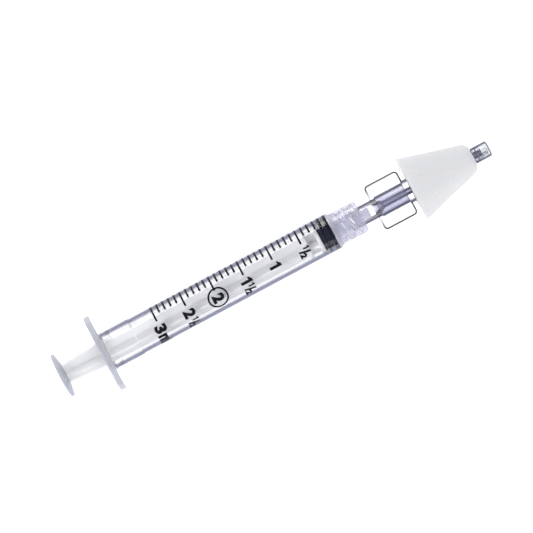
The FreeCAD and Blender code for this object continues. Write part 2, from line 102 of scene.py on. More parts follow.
@dataclass
class Surface:
    """One closed shell in millimetres: points and arrays of faces with equal side counts."""

    points: Array
    faces: list[Array]

    def turned(self, degrees: float) -> "Surface":
        """Rotate about X: y and z mix by the cosine and sine of the angle.

        Args:
            degrees: the angle, positive from Y toward Z.

        Returns:
            The turned shell.
        """
        turn = math.radians(degrees)
        x, y, z = self.points.T
        y, z = y * math.cos(turn) - z * math.sin(turn), y * math.sin(turn) + z * math.cos(turn)
        return Surface(np.column_stack([x, y, z]), self.faces)

    def outward(self) -> "Surface":
        """Turn the faces outward.

        The volume is a sixth of the sum, over the triangles of each face's fan, of a . (b x c);
        if it is negative every face is reversed.

        Returns:
            The same shell with a positive volume.
        """
        volume = 0.0
        for group in self.faces:
            corner = self.points[group]
            for k in range(1, group.shape[1] - 1):
                cross = np.cross(corner[:, k], corner[:, k + 1])
                volume += float((corner[:, 0] * cross).sum())
        if volume >= 0:
            return self
        return Surface(self.points, [group[:, ::-1] for group in self.faces])

    def mesh(self, name: str) -> bpy.types.Mesh:
        """Write the shell into a new mesh, still in millimetres.

        Args:
            name: name of the mesh.

        Returns:
            The mesh, facing outward.
        """
        shell = self.outward()
        made = bpy.data.meshes.new(name)
        faces = [face for group in shell.faces for face in group.tolist()]
        made.from_pydata(shell.points.tolist(), [], faces)
        made.update()
        return made


def together(*shells: Surface) -> Surface:
    """Put shells in one surface; each one's face numbers are shifted past the points before it.

    Args:
        shells: the closed shells.

    Returns:
        One surface that holds them all.
    """
    starts = np.cumsum([0] + [len(shell.points) for shell in shells[:-1]])
    faces = [group + start for shell, start in zip(shells, starts)
             for group in shell.outward().faces]
    return Surface(np.vstack([shell.points for shell in shells]), faces)


@dataclass(frozen=True)
class Corner:
    """A corner of a section: place along the axis, radius, rounding, largest step to the next."""

    x: float
    r: float
    rounding: float = 0.0
    step: float = 0.0


def rounded_section(corners: list[Corner], closed: bool) -> Array:
    """Join corners by straight runs, with an arc tangent to both runs at each rounded corner.

    The arc's centre lies on the bisector, at rounding / sin(half angle) from the corner, and
    touches each run at rounding / tan(half angle). One more point stands on the run beside each
    arc, so that smooth shading stays on the arc.

    Args:
        corners: the corners in order.
        closed: whether the last one runs back to the first.

    Returns:
        Rows of (x, r).
    """
    places = np.array([(c.x, c.r) for c in corners])
    count = len(corners)
    back = np.roll(places, 1, 0) - places
    run = np.linalg.norm(back, axis=1)
    back /= run[:, None]
    ahead = -np.roll(back, -1, 0)
    half = np.arccos(np.clip((back * ahead).sum(1), -1, 1)) / 2
    wanted = np.array([c.rounding for c in corners]) / np.tan(half)
    if not closed:
        wanted[[0, -1]] = 0
    fit = np.minimum(1, 0.94 * run / np.maximum(wanted + np.roll(wanted, 1), 1e-9))
    reach = wanted * np.minimum(fit, np.roll(fit, -1))
    rows: list[Array] = []
    for k, corner in enumerate(corners):
        here = places[k]
        if reach[k] < TINY:
            rows.append(here[None])
        else:
            radius, sweep = reach[k] * math.tan(half[k]), math.pi - 2 * half[k]
            middle = back[k] + ahead[k]
            middle = here + middle / np.linalg.norm(middle) * radius / math.sin(half[k])
            first, final = here + back[k] * reach[k] - middle, here + ahead[k] * reach[k] - middle
            share = np.linspace(0, 1, max(3, math.ceil(sweep / ARC_STEP)) + 1)[:, None]
            mixed = np.sin((1 - share) * sweep) * first + np.sin(share * sweep) * final
            arc = middle + mixed / math.sin(sweep)
            beside = reach[k] + min(0.3 * radius, 0.02 * min(run[k], run[(k + 1) % count]))
            rows += [(here + back[k] * beside)[None], arc, (here + ahead[k] * beside)[None]]
        if corner.step > 0:
            after = (k + 1) % count
            following = places[after] + back[after] * reach[after] * 1.1
            start = rows[-1][-1]
            steps = max(1, int(np.linalg.norm(following - start) / corner.step))
            share = np.arange(1, steps)[:, None] / steps
            rows.append(start + (following - start) * share)
    return np.vstack(rows)


def ring_faces(rows: int, columns: int, wrap: bool) -> Array:
    """Quads of a grid that is closed along its columns, and along its rows too if wrap is set.

    Args:
        rows: number of rows.
        columns: number of columns.
        wrap: True joins the last row to the first.

    Returns:
        Rows of four point numbers.
    """
    row = np.arange(rows if wrap else rows - 1)[:, None]
    column = np.arange(columns)[None]
    below, right = (row + 1) % rows, (column + 1) % columns
    low, high = row * columns, below * columns
    return np.stack([low + column, high + column, high + right, low + right], -1).reshape(-1, 4)


def grid_shell(grid: Array, wrap: bool) -> Surface:
    """Close a grid of rings into a shell.

    Args:
        grid: rows x columns x 3 points, closed along the columns.
        wrap: True joins the last row to the first; False closes each end with a fan to the
            mean point of its ring.

    Returns:
        The closed shell.
    """
    rows, columns = grid.shape[:2]
    points = grid.reshape(-1, 3)
    faces = [ring_faces(rows, columns, wrap)]
    if not wrap:
        ends = np.array([grid[0].mean(0), grid[-1].mean(0)])
        column = np.arange(columns)
        right = (column + 1) % columns
        first, final, base = len(points), len(points) + 1, (rows - 1) * columns
        faces.append(np.column_stack([np.full(columns, first), column, right]))
        faces.append(np.column_stack([np.full(columns, final), base + right, base + column]))
        points = np.vstack([points, ends])
    return Surface(points, faces)


def lathe_grid(section: Array, columns: int = ROUND) -> Array:
    """Carry a section round X: (x, r) at angle t is the point (x, r cos t, r sin t).

    Args:
        section: rows of (x, r).
        columns: number of steps round the axis.

    Returns:
        Rows x columns x 3 points.
    """
    angle = np.arange(columns) * (2 * math.pi / columns)
    x = np.repeat(section[:, :1], columns, 1)
    return np.stack([x, section[:, 1:] * np.cos(angle), section[:, 1:] * np.sin(angle)], -1)


def turned_solid(corners: list[Corner], columns: int = ROUND) -> Surface:
    """Turn a section that starts and ends on the axis; the two axis points become the poles."""
    return grid_shell(lathe_grid(rounded_section(corners, False)[1:-1], columns), False)


def turned_ring(corners: list[Corner], columns: int = ROUND) -> Surface:
    """Turn a closed section that stays clear of the axis."""
    return grid_shell(lathe_grid(rounded_section(corners, True), columns), True)


def combined(name: str, first: Surface, *steps: tuple[Mix, Surface]) -> bpy.types.Mesh:
    """Add solids to the first one, or cut them from it.

    Args:
        name: name of the mesh.
        first: the solid that the others change.
        steps: pairs of what to do and the solid to do it with, in order.

    Returns:
        The combined mesh, still in millimetres.
    """
    scene = bpy.context.scene.collection.objects
    base = bpy.data.objects.new(name, first.mesh(name))
    scene.link(base)
    helpers = [base]
    for mix, surface in steps:
        helper = bpy.data.objects.new(f"{name}_helper", surface.mesh(f"{name}_helper"))
        scene.link(helper)
        helpers.append(helper)
        modifier = base.modifiers.new(mix.name, "BOOLEAN")
        modifier.operation = mix.value
        modifier.solver = "MANIFOLD"
        modifier.object = helper
    graph = bpy.context.evaluated_depsgraph_get()
    made = bpy.data.meshes.new_from_object(base.evaluated_get(graph))
    made.name = name
    for helper in helpers:
        data = helper.data
        bpy.data.objects.remove(helper)
        bpy.data.meshes.remove(data)
    return made


def read_points(mesh: bpy.types.Mesh) -> Array:
    """Read the points of a mesh as three rows: x, y and z.

    Args:
        mesh: the mesh.

    Returns:
        The three rows.
    """
    flat = np.empty(len(mesh.vertices) * 3)
    mesh.vertices.foreach_get("co", flat)
    return flat.reshape(-1, 3).T


def paint_rim_shade(mesh: bpy.types.Mesh, paint: Array) -> None:
    """Write the painted rim shade, one number from 0 to 1 for each point, into the mesh's "rim"
    attribute.

    Args:
        mesh: the mesh.
        paint: the numbers, in the order of its points.
    """
    layer = mesh.attributes.new("rim", "FLOAT", "POINT")
    layer.data.foreach_set("value", paint.astype(np.float32))


def enter_piece(name: str, mesh: bpy.types.Mesh, body: Body,
                material: bpy.types.Material, stands_for: tuple[str, ...],
                sharp_deg: float = 30) -> bpy.types.Object:
    """Bring a finished mesh from millimetres into the scene as a piece of the object.

    Args:
        name: name of the piece.
        mesh: its mesh in millimetres.
        body: the body that it rides on.
        material: its finish.
        stands_for: the nodes that it replaces.
        sharp_deg: faces that meet at a larger angle than this keep a crisp edge.

    Returns:
        The new object, at the origin.
    """
    mesh.transform(Matrix.Scale(MM, 4))
    mesh.polygons.foreach_set("use_smooth", np.ones(len(mesh.polygons), dtype=bool))
    mesh.set_sharp_from_angle(angle=math.radians(sharp_deg))
    mesh.materials.clear()
    mesh.materials.append(material)
    mesh.update()
    piece = bpy.data.objects.new(name, mesh)
    bpy.context.scene.collection.objects.link(piece)
    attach(piece, body.value)
    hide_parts(*stands_for)
    LOG.info("%s: %d points, %d faces, rides on %s", name, len(mesh.vertices), len(mesh.polygons),
             body.value)
    return piece


# ---------------------------------------------------------------- finishes


class NodeBoard:
    """The nodes of one material or world, placed and joined by short calls."""

    def __init__(self, holder: bpy.types.Material | bpy.types.World) -> None:
        """Start an empty board.

        Args:
            holder: the material or world that gets the nodes.
        """
        self.holder = holder
        holder.use_nodes = True
        self.tree = holder.node_tree
        self.tree.nodes.clear()

    def add(self, kind: str, settings: dict | None = None, **inputs: object) -> bpy.types.Node:
        """Place a node.

        Args:
            kind: Blender's name of the node type.
            settings: properties of the node itself.
            inputs: values or sockets by input name, with _ for a space.

        Returns:
            The node.
        """
        node = self.tree.nodes.new(kind)
        for key, value in (settings or {}).items():
            setattr(node, key, value)
        for key, value in inputs.items():
            self.feed(node.inputs[key.replace("_", " ")], value)
        return node

    def feed(self, socket: Socket, value: object) -> None:
        """Set an input to a plain value, or join another node's output to it.

        Args:
            socket: the input.
            value: the value or output.
        """
        if isinstance(value, bpy.types.NodeSocket):
            self.tree.links.new(value, socket)
        else:
            socket.default_value = value

    def place(self) -> Socket:
        """Object coordinates, in metres."""
        return self.add("ShaderNodeTexCoord").outputs["Object"]

    def facing(self) -> Socket:
        """How far a face turns away: 0 head on, 1 at a grazing angle."""
        return self.add("ShaderNodeLayerWeight", Blend=0.5).outputs["Facing"]

    def along(self, place: Socket) -> Socket:
        """Place along the axis, in metres."""
        return self.add("ShaderNodeSeparateXYZ", Vector=place).outputs["X"]

    def radius(self, place: Socket) -> Socket:
        """Distance from the axis, in metres: the length of the coordinates without their X.

        Args:
            place: the coordinates.

        Returns:
            The distance.
        """
        across = self.add("ShaderNodeVectorMath", {"operation": "MULTIPLY"})
        self.feed(across.inputs[0], place)
        across.inputs[1].default_value = (0, 1, 1)
        length = self.add("ShaderNodeVectorMath", {"operation": "LENGTH"})
        self.feed(length.inputs[0], across.outputs[0])
        return length.outputs["Value"]

    def grain(self, place: Socket, size_mm: float, detail: float = 2.0,
              stretch: Colour = (1, 1, 1)) -> Socket:
        """Soft noise whose blobs are about size_mm across.

        Args:
            place: the coordinates it is read at.
            size_mm: size of a blob.
            detail: how much finer noise is added.
            stretch: larger numbers squeeze the noise along that axis.

        Returns:
            The noise, from 0 to 1.
        """
        mapped = self.add("ShaderNodeMapping", Vector=place, Scale=stretch).outputs["Vector"]
        noise = self.add("ShaderNodeTexNoise", Vector=mapped, Scale=1000 / size_mm, Detail=detail)
        return noise.outputs["Fac"]

    def span(self, value: Socket, source: Pair, target: Pair) -> Socket:
        """Carry a value from one span of numbers to another, held at both ends.

        Args:
            value: the value.
            source: the span it comes from.
            target: the span it goes to.

        Returns:
            The carried value.
        """
        node = self.add("ShaderNodeMapRange", Value=value)
        for key, number in zip(("From Min", "From Max", "To Min", "To Max"), source + target):
            node.inputs[key].default_value = number
        return node.outputs["Result"]

    def vary(self, noise: Socket, low: float, high: float) -> Socket:
        """Carry a noise's usual range to low and high."""
        return self.span(noise, NOISE_RANGE, (low, high))

    def rise(self, length: Socket, start: float, end: float) -> Socket:
        """Grow from 0 to 1 while a length goes from start to end, both in millimetres."""
        return self.span(length, (start * MM, end * MM), (0, 1))

    def fall(self, length: Socket, start: float, end: float,
             full: float = 1.0) -> Socket:
        """Sink from full to 0 while a length goes from start to end, both in millimetres."""
        return self.span(length, (start * MM, end * MM), (full, 0))

    def reckon(self, operation: str, first: Socket, second: Socket,
               held: bool = False) -> Socket:
        """Reckon with two values in a Math node.

        Args:
            operation: Blender's name of the operation.
            first: first value or socket.
            second: second value or socket.
            held: True keeps the result from 0 to 1.

        Returns:
            The result.
        """
        node = self.add("ShaderNodeMath", {"operation": operation, "use_clamp": held})
        self.feed(node.inputs[0], first)
        self.feed(node.inputs[1], second)
        return node.outputs[0]

    def plus(self, first: Socket, second: Socket) -> Socket:
        """Add two values."""
        return self.reckon("ADD", first, second)

    def times(self, first: Socket, second: Socket) -> Socket:
        """Multiply two values."""
        return self.reckon("MULTIPLY", first, second)

    def larger(self, first: Socket, second: Socket) -> Socket:
        """Take the larger of two values."""
        return self.reckon("MAXIMUM", first, second)

    def blend(self, factor: Socket, low: object, high: object) -> Socket:
        """Mix two colours by a factor from 0 to 1.

        Args:
            factor: the factor.
            low: colour or output at 0.
            high: colour or output at 1.

        Returns:
            The mixed colour.
        """
        node = self.add("ShaderNodeMix", {"data_type": "RGBA"})
        self.feed(node.inputs[0], factor)
        self.feed(node.inputs[6], (*low, 1) if isinstance(low, tuple) else low)
        self.feed(node.inputs[7], (*high, 1) if isinstance(high, tuple) else high)
        return node.outputs[2]

    def bump(self, height: Socket, depth_mm: float) -> Socket:
        """Bump whose full height is depth_mm."""
        node = self.add("ShaderNodeBump", Height=height, Strength=1.0, Distance=depth_mm * MM)
        return node.outputs["Normal"]

    def principled(self, **inputs: object) -> bpy.types.Material:
        """Finish the board with one Principled shader and the output.

        Args:
            inputs: the shader's values or sockets by input name, with _ for a space.

        Returns:
            The finished material.
        """
        shader = self.add("ShaderNodeBsdfPrincipled", **inputs)
        self.add("ShaderNodeOutputMaterial", Surface=shader.outputs["BSDF"])
        return self.holder


@dataclass(frozen=True)
class HazeStep:
    """A change in a clear plastic's milkiness along X.

    Attributes:
        start: where it begins, in millimetres.
        end: where it is complete.
        share: how much milkiness it adds.
        colour: the plastic's colour past it.
    """

    start: float
    end: float
    share: float
    colour: Colour


@dataclass(frozen=True)
class Heart:
    """A milkier middle of a clear piece, where moulded walls lie over each other.

    Attributes:
        radius: how far it reaches from the axis, in millimetres.
        start: where it begins along X, in millimetres.
        share: how much milkiness it adds.
        colour: its colour.
        side_fade: how soon it ends sideways, in millimetres.
        start_fade: how soon it is full along X, in millimetres.
    """

    radius: float
    start: float
    share: float
    colour: Colour
    side_fade: float = 0.05
    start_fade: float = 0.6


@dataclass(frozen=True)
class ClearPlastic:
    """Clear moulded plastic with painted shade where its walls turn away from view and on its rims,
    with milky ends where it is textured.

    Attributes:
        name: name of the material.
        tint: colour head on.
        edge: colour of the painted edge shade, at a grazing angle.
        haze: share of milkiness along the middle of the piece.
        edge_shade_opacity: how opaque the painted edge shade is where it is full.
        edge_shade_span: the facing values between which tint turns into the painted edge shade.
        skin: radius in millimetres past which the painted edge shade shows; inner walls stay clear.
        edge_shade_r: radius in millimetres past which the painted edge shade stops.
        edge_shade_end: (full, none) in millimetres along X, where the painted edge shade fades out.
        core: radius in millimetres of a narrow channel whose wall gets the painted edge shade
            sooner.
        core_shade_span: the facing values between which the channel's wall turns to painted shade.
        rim: colour of the painted shade on the parts marked in the mesh's "rim" attribute.
        back_shade: (dark, clear) in millimetres along X, where painted shade at the back of the
            piece ends.
        back_shade_share: how dark that painted shade is.
        heart: a milkier middle.
        haze_steps: changes in milkiness along X.
        ior: refractive index.
        roughness: lowest and highest roughness.
        cloud_mm: size of the blobs of milkiness.
        flow_mm: size of the moulding's flow marks.
        ripple_mm: depth of the flow marks.
        fade: how soon a zone ends at its radius, in millimetres.
    """

    name: str
    tint: Colour
    edge: Colour
    haze: float
    edge_shade_opacity: float
    edge_shade_span: Pair = (0.25, 0.6)
    skin: float = 0.0
    edge_shade_r: float = 100.0
    edge_shade_end: Pair = (100.0, 101.0)
    core: float = 0.0
    core_shade_span: Pair = (0.01, 0.09)
    rim: Colour = (0.025, 0.026, 0.036)
    back_shade: Pair | None = None
    back_shade_share: float = 0.8
    heart: Heart | None = None
    haze_steps: tuple[HazeStep, ...] = ()
    ior: float = 1.49
    roughness: Pair = (0.02, 0.06)
    cloud_mm: float = 1.3
    flow_mm: float = 9.0
    ripple_mm: float = 0.001
    fade: float = 0.1

    def edge_shade_share(self, board: NodeBoard, radius: Socket, along: Socket) -> Socket:
        """Work out how much of the painted edge shade shows.

        It is the facing value carried over edge_shade_span, times one zone between two radii and
        one zone along X. Inside the core, a second and quicker facing value replaces it if larger.

        Args:
            board: the material's nodes.
            radius: distance from the axis.
            along: place along the axis.

        Returns:
            The share, from 0 to 1.
        """
        facing = board.facing()
        zone = board.times(board.rise(radius, self.skin, self.skin + self.fade),
                           board.fall(radius, self.edge_shade_r, self.edge_shade_r + self.fade))
        share = board.times(board.span(facing, self.edge_shade_span, (0, 1)), zone)
        share = board.times(share, board.fall(along, *self.edge_shade_end))
        if self.core > 0:
            inside = board.fall(radius, self.core, self.core + self.fade)
            quicker = board.times(board.span(facing, self.core_shade_span, (0, 1)), inside)
            share = board.larger(share, quicker)
        return share

    def milky(self, board: NodeBoard, radius: Socket, along: Socket,
              cloud: Socket) -> tuple[object, Socket]:
        """Work out the colour head on and the milkiness, which the heart and each step add to.

        Args:
            board: the material's nodes.
            radius: distance from the axis.
            along: place along the axis.
            cloud: the blobs of milkiness.

        Returns:
            The colour and the share of milkiness.
        """
        colour: object = self.tint
        haze = board.vary(cloud, self.haze * 0.6, self.haze * 1.4)
        changes: list[tuple[Socket, float, Colour]] = []
        if self.heart is not None:
            heart = self.heart
            zone = board.times(board.fall(radius, heart.radius, heart.radius + heart.side_fade),
                               board.rise(along, heart.start, heart.start + heart.start_fade))
            changes.append((zone, heart.share, heart.colour))
        for step in self.haze_steps:
            changes.append((board.rise(along, step.start, step.end), step.share, step.colour))
        for zone, share, milk in changes:
            haze = board.plus(haze, board.times(zone, share))
            colour = board.blend(zone, colour, milk)
        return colour, haze

    def material(self) -> bpy.types.Material:
        """Make the material: tint, painted edge shade over it, and painted shade on rims and at the
        back over both.

        Returns:
            The finished material.
        """
        board = NodeBoard(bpy.data.materials.new(self.name))
        place = board.place()
        radius, along = board.radius(place), board.along(place)
        flow = board.grain(place, self.flow_mm, 1.0, (0.25, 1, 1))
        cloud = board.grain(place, self.cloud_mm, 3.0)
        # Painted shade on rims, read from the mesh's "rim" attribute.
        painted = board.add("ShaderNodeAttribute", {"attribute_name": "rim"}).outputs["Fac"]
        # Painted shade at the back of the piece, where it meets the part behind.
        if self.back_shade is not None:
            painted = board.larger(board.fall(along, *self.back_shade, self.back_shade_share), painted)
        # Painted shade at grazing angles: it stands in for the dark surroundings that the clear
        # walls refract where they turn away from view.
        edge = self.edge_shade_share(board, radius, along)
        colour, haze = self.milky(board, radius, along, cloud)
        haze = board.plus(haze, board.times(board.larger(edge, painted), self.edge_shade_opacity))
        return board.principled(
            Base_Color=board.blend(painted, board.blend(edge, colour, self.edge), self.rim),
            Roughness=board.vary(cloud, *self.roughness),
            IOR=self.ior,
            Transmission_Weight=board.reckon("SUBTRACT", 1.0, haze, held=True),
            Normal=board.bump(flow, self.ripple_mm),
        )


@dataclass(frozen=True)
class WhitePlastic:
    """White moulded plastic, slightly translucent, with faint mottling and flow lines, painted
    shade at its edges and painted shade on the thumb rest.

    Attributes:
        name: name of the material.
        light: lighter shade.
        dark: darker shade.
        edge: painted shade at its edges, where the surface turns away from view.
        edge_shade_span: the facing values between which it turns into the painted edge shade.
        rest_shade: painted shade on the thumb rest.
        rest_shade_x: (none, full) in millimetres along X, between which the painted shade on the
            thumb rest sets in.
        roughness: lowest and highest roughness.
    """

    name: str
    light: Colour = (0.96, 0.96, 0.96)
    dark: Colour = (0.91, 0.91, 0.915)
    edge: Colour = (0.42, 0.42, 0.46)
    edge_shade_span: Pair = (0.5, 0.75)
    rest_shade: Colour = (0.46, 0.47, 0.54)
    rest_shade_x: Pair = (-78.2, -79.0)
    roughness: Pair = (0.32, 0.48)

    def material(self) -> bpy.types.Material:
        """Make the material.

        Returns:
            The finished material.
        """
        board = NodeBoard(bpy.data.materials.new(self.name))
        place = board.place()
        mottle = board.grain(place, 4.0, 2.0, (0.4, 1, 1))
        fine = board.grain(place, 0.35, 3.0)
        colour = board.blend(board.vary(mottle, 0, 1), self.dark, self.light)
        # Painted shade at the edges, where the surface turns away from view.
        colour = board.blend(board.span(board.facing(), self.edge_shade_span, (0, 1)), colour, self.edge)
        # Painted shade on the thumb rest, behind the boss.
        rest_shade = board.rise(board.along(place), *self.rest_shade_x)
        return board.principled(
            Base_Color=board.blend(rest_shade, colour, self.rest_shade),
            Roughness=board.vary(fine, *self.roughness),
            Normal=board.bump(fine, 0.006),
            IOR=1.49,
            Subsurface_Weight=0.7,
            Subsurface_Radius=(0.003, 0.003, 0.0028),
            Subsurface_Scale=1.0,
        )


@dataclass(frozen=True)
class BlackRubber:
    """Black rubber with a thin film of silicone oil.

    Attributes:
        name: name of the material.
        light: lighter shade.
        dark: darker shade.
        roughness: lowest and highest roughness.
    """

    name: str
    light: Colour = (0.003, 0.006, 0.028)
    dark: Colour = (0.002, 0.004, 0.014)
    roughness: Pair = (0.35, 0.55)

    def material(self) -> bpy.types.Material:
        """Make the material.

        Returns:
            The finished material.
        """
        board = NodeBoard(bpy.data.materials.new(self.name))
        place = board.place()
        cloud = board.grain(place, 1.5)
        fine = board.grain(place, 0.12, 3.0)
        return board.principled(
            Base_Color=board.blend(cloud, self.dark, self.light),
            Roughness=board.vary(cloud, *self.roughness),
            Normal=board.bump(fine, 0.004),
            Specular_IOR_Level=0.06,
            Coat_Weight=0.02,
            Coat_Roughness=0.3,
        )


@dataclass(frozen=True)
class PrintInk:
    """Black printing ink, thinner in places.

    Attributes:
        name: name of the material.
        full: colour where the film is heavy.
        thin: colour where it is thin.
        thin_span: the noise values between which it turns thin.
        roughness: lowest and highest roughness.
    """

    name: str
    full: Colour = (0.006, 0.006, 0.008)
    thin: Colour = (0.03, 0.03, 0.036)
    thin_span: Pair = (0.55, 0.75)
    roughness: Pair = (0.4, 0.6)

    def material(self) -> bpy.types.Material:
        """Make the material.

        Returns:
            The finished material.
        """
        board = NodeBoard(bpy.data.materials.new(self.name))
        film = board.grain(board.place(), 0.3, 3.0)
        return board.principled(
            Base_Color=board.blend(board.span(film, self.thin_span, (0, 1)), self.full, self.thin),
            Roughness=board.vary(film, *self.roughness),
            Normal=board.bump(film, 0.003),
            Specular_IOR_Level=0.12,
        )


@dataclass(frozen=True)
class SoftFoam:
    """Fine white foam with a smooth skin: small cells with painted shade in their pores, soft light
    inside.

    Attributes:
        name: name of the material.
        skin: colour of the skin.
        pore_shade: colour of the painted shade in the pores.
        cells_per_m: how many cells stand in a metre.
        pore_span: the cell values between which a pore turns into skin.
        roughness: lowest and highest roughness.
    """

    name: str
    skin: Colour = (0.89, 0.89, 0.89)
    pore_shade: Colour = (0.81, 0.81, 0.815)
    cells_per_m: float = 2600.0
    pore_span: Pair = (0.05, 0.35)
    roughness: Pair = (0.75, 0.95)

    def material(self) -> bpy.types.Material:
        """Make the material.

        Returns:
            The finished material.
        """
        board = NodeBoard(bpy.data.materials.new(self.name))
        place = board.place()
        cells = board.add("ShaderNodeTexVoronoi", {"feature": "F1"}, Vector=place,
                          Scale=self.cells_per_m)
        soft = board.grain(place, 3.0, 3.0)
        fine = board.grain(place, 0.25, 4.0)
        # Painted shade in the pores, where the cell distance times fine noise is small.
        pores = board.span(board.times(cells.outputs["Distance"], fine), self.pore_span, (0, 1))
        smooth = board.times(pores, board.vary(soft, 0.75, 1.0))
        return board.principled(
            Base_Color=board.blend(smooth, self.pore_shade, self.skin),
            Roughness=board.vary(fine, *self.roughness),
            Normal=board.bump(board.plus(pores, soft), 0.007),
            Subsurface_Weight=0.3,
            Subsurface_Radius=(0.002, 0.0019, 0.0018),
            Subsurface_Scale=1.0,
            Sheen_Weight=0.15,
        )


@dataclass(frozen=True)
class FloorPaint:
    """Matt, nearly white studio floor.

    Attributes:
        name: name of the material.
        shade: its colour.
        dulling: how much darker it is in places.
        glow: light of its own, as of a light table.
    """

    name: str
    shade: Colour = (0.93, 0.93, 0.935)
    dulling: float = 0.985
    glow: float = 0.5

    def material(self) -> bpy.types.Material:
        """Make the material.

        Returns:
            The finished material.
        """
        board = NodeBoard(bpy.data.materials.new(self.name))
        soft = board.grain(board.place(), 60.0)
        duller = tuple(self.dulling * value for value in self.shade)
        return board.principled(
            Base_Color=board.blend(soft, self.shade, duller),
            Roughness=board.vary(soft, 0.75, 0.85),
            Specular_IOR_Level=0.2,
            Emission_Color=(1.0, 1.0, 1.0, 1.0),
            Emission_Strength=self.glow,
        )


# ---------------------------------------------------------------- the barrel


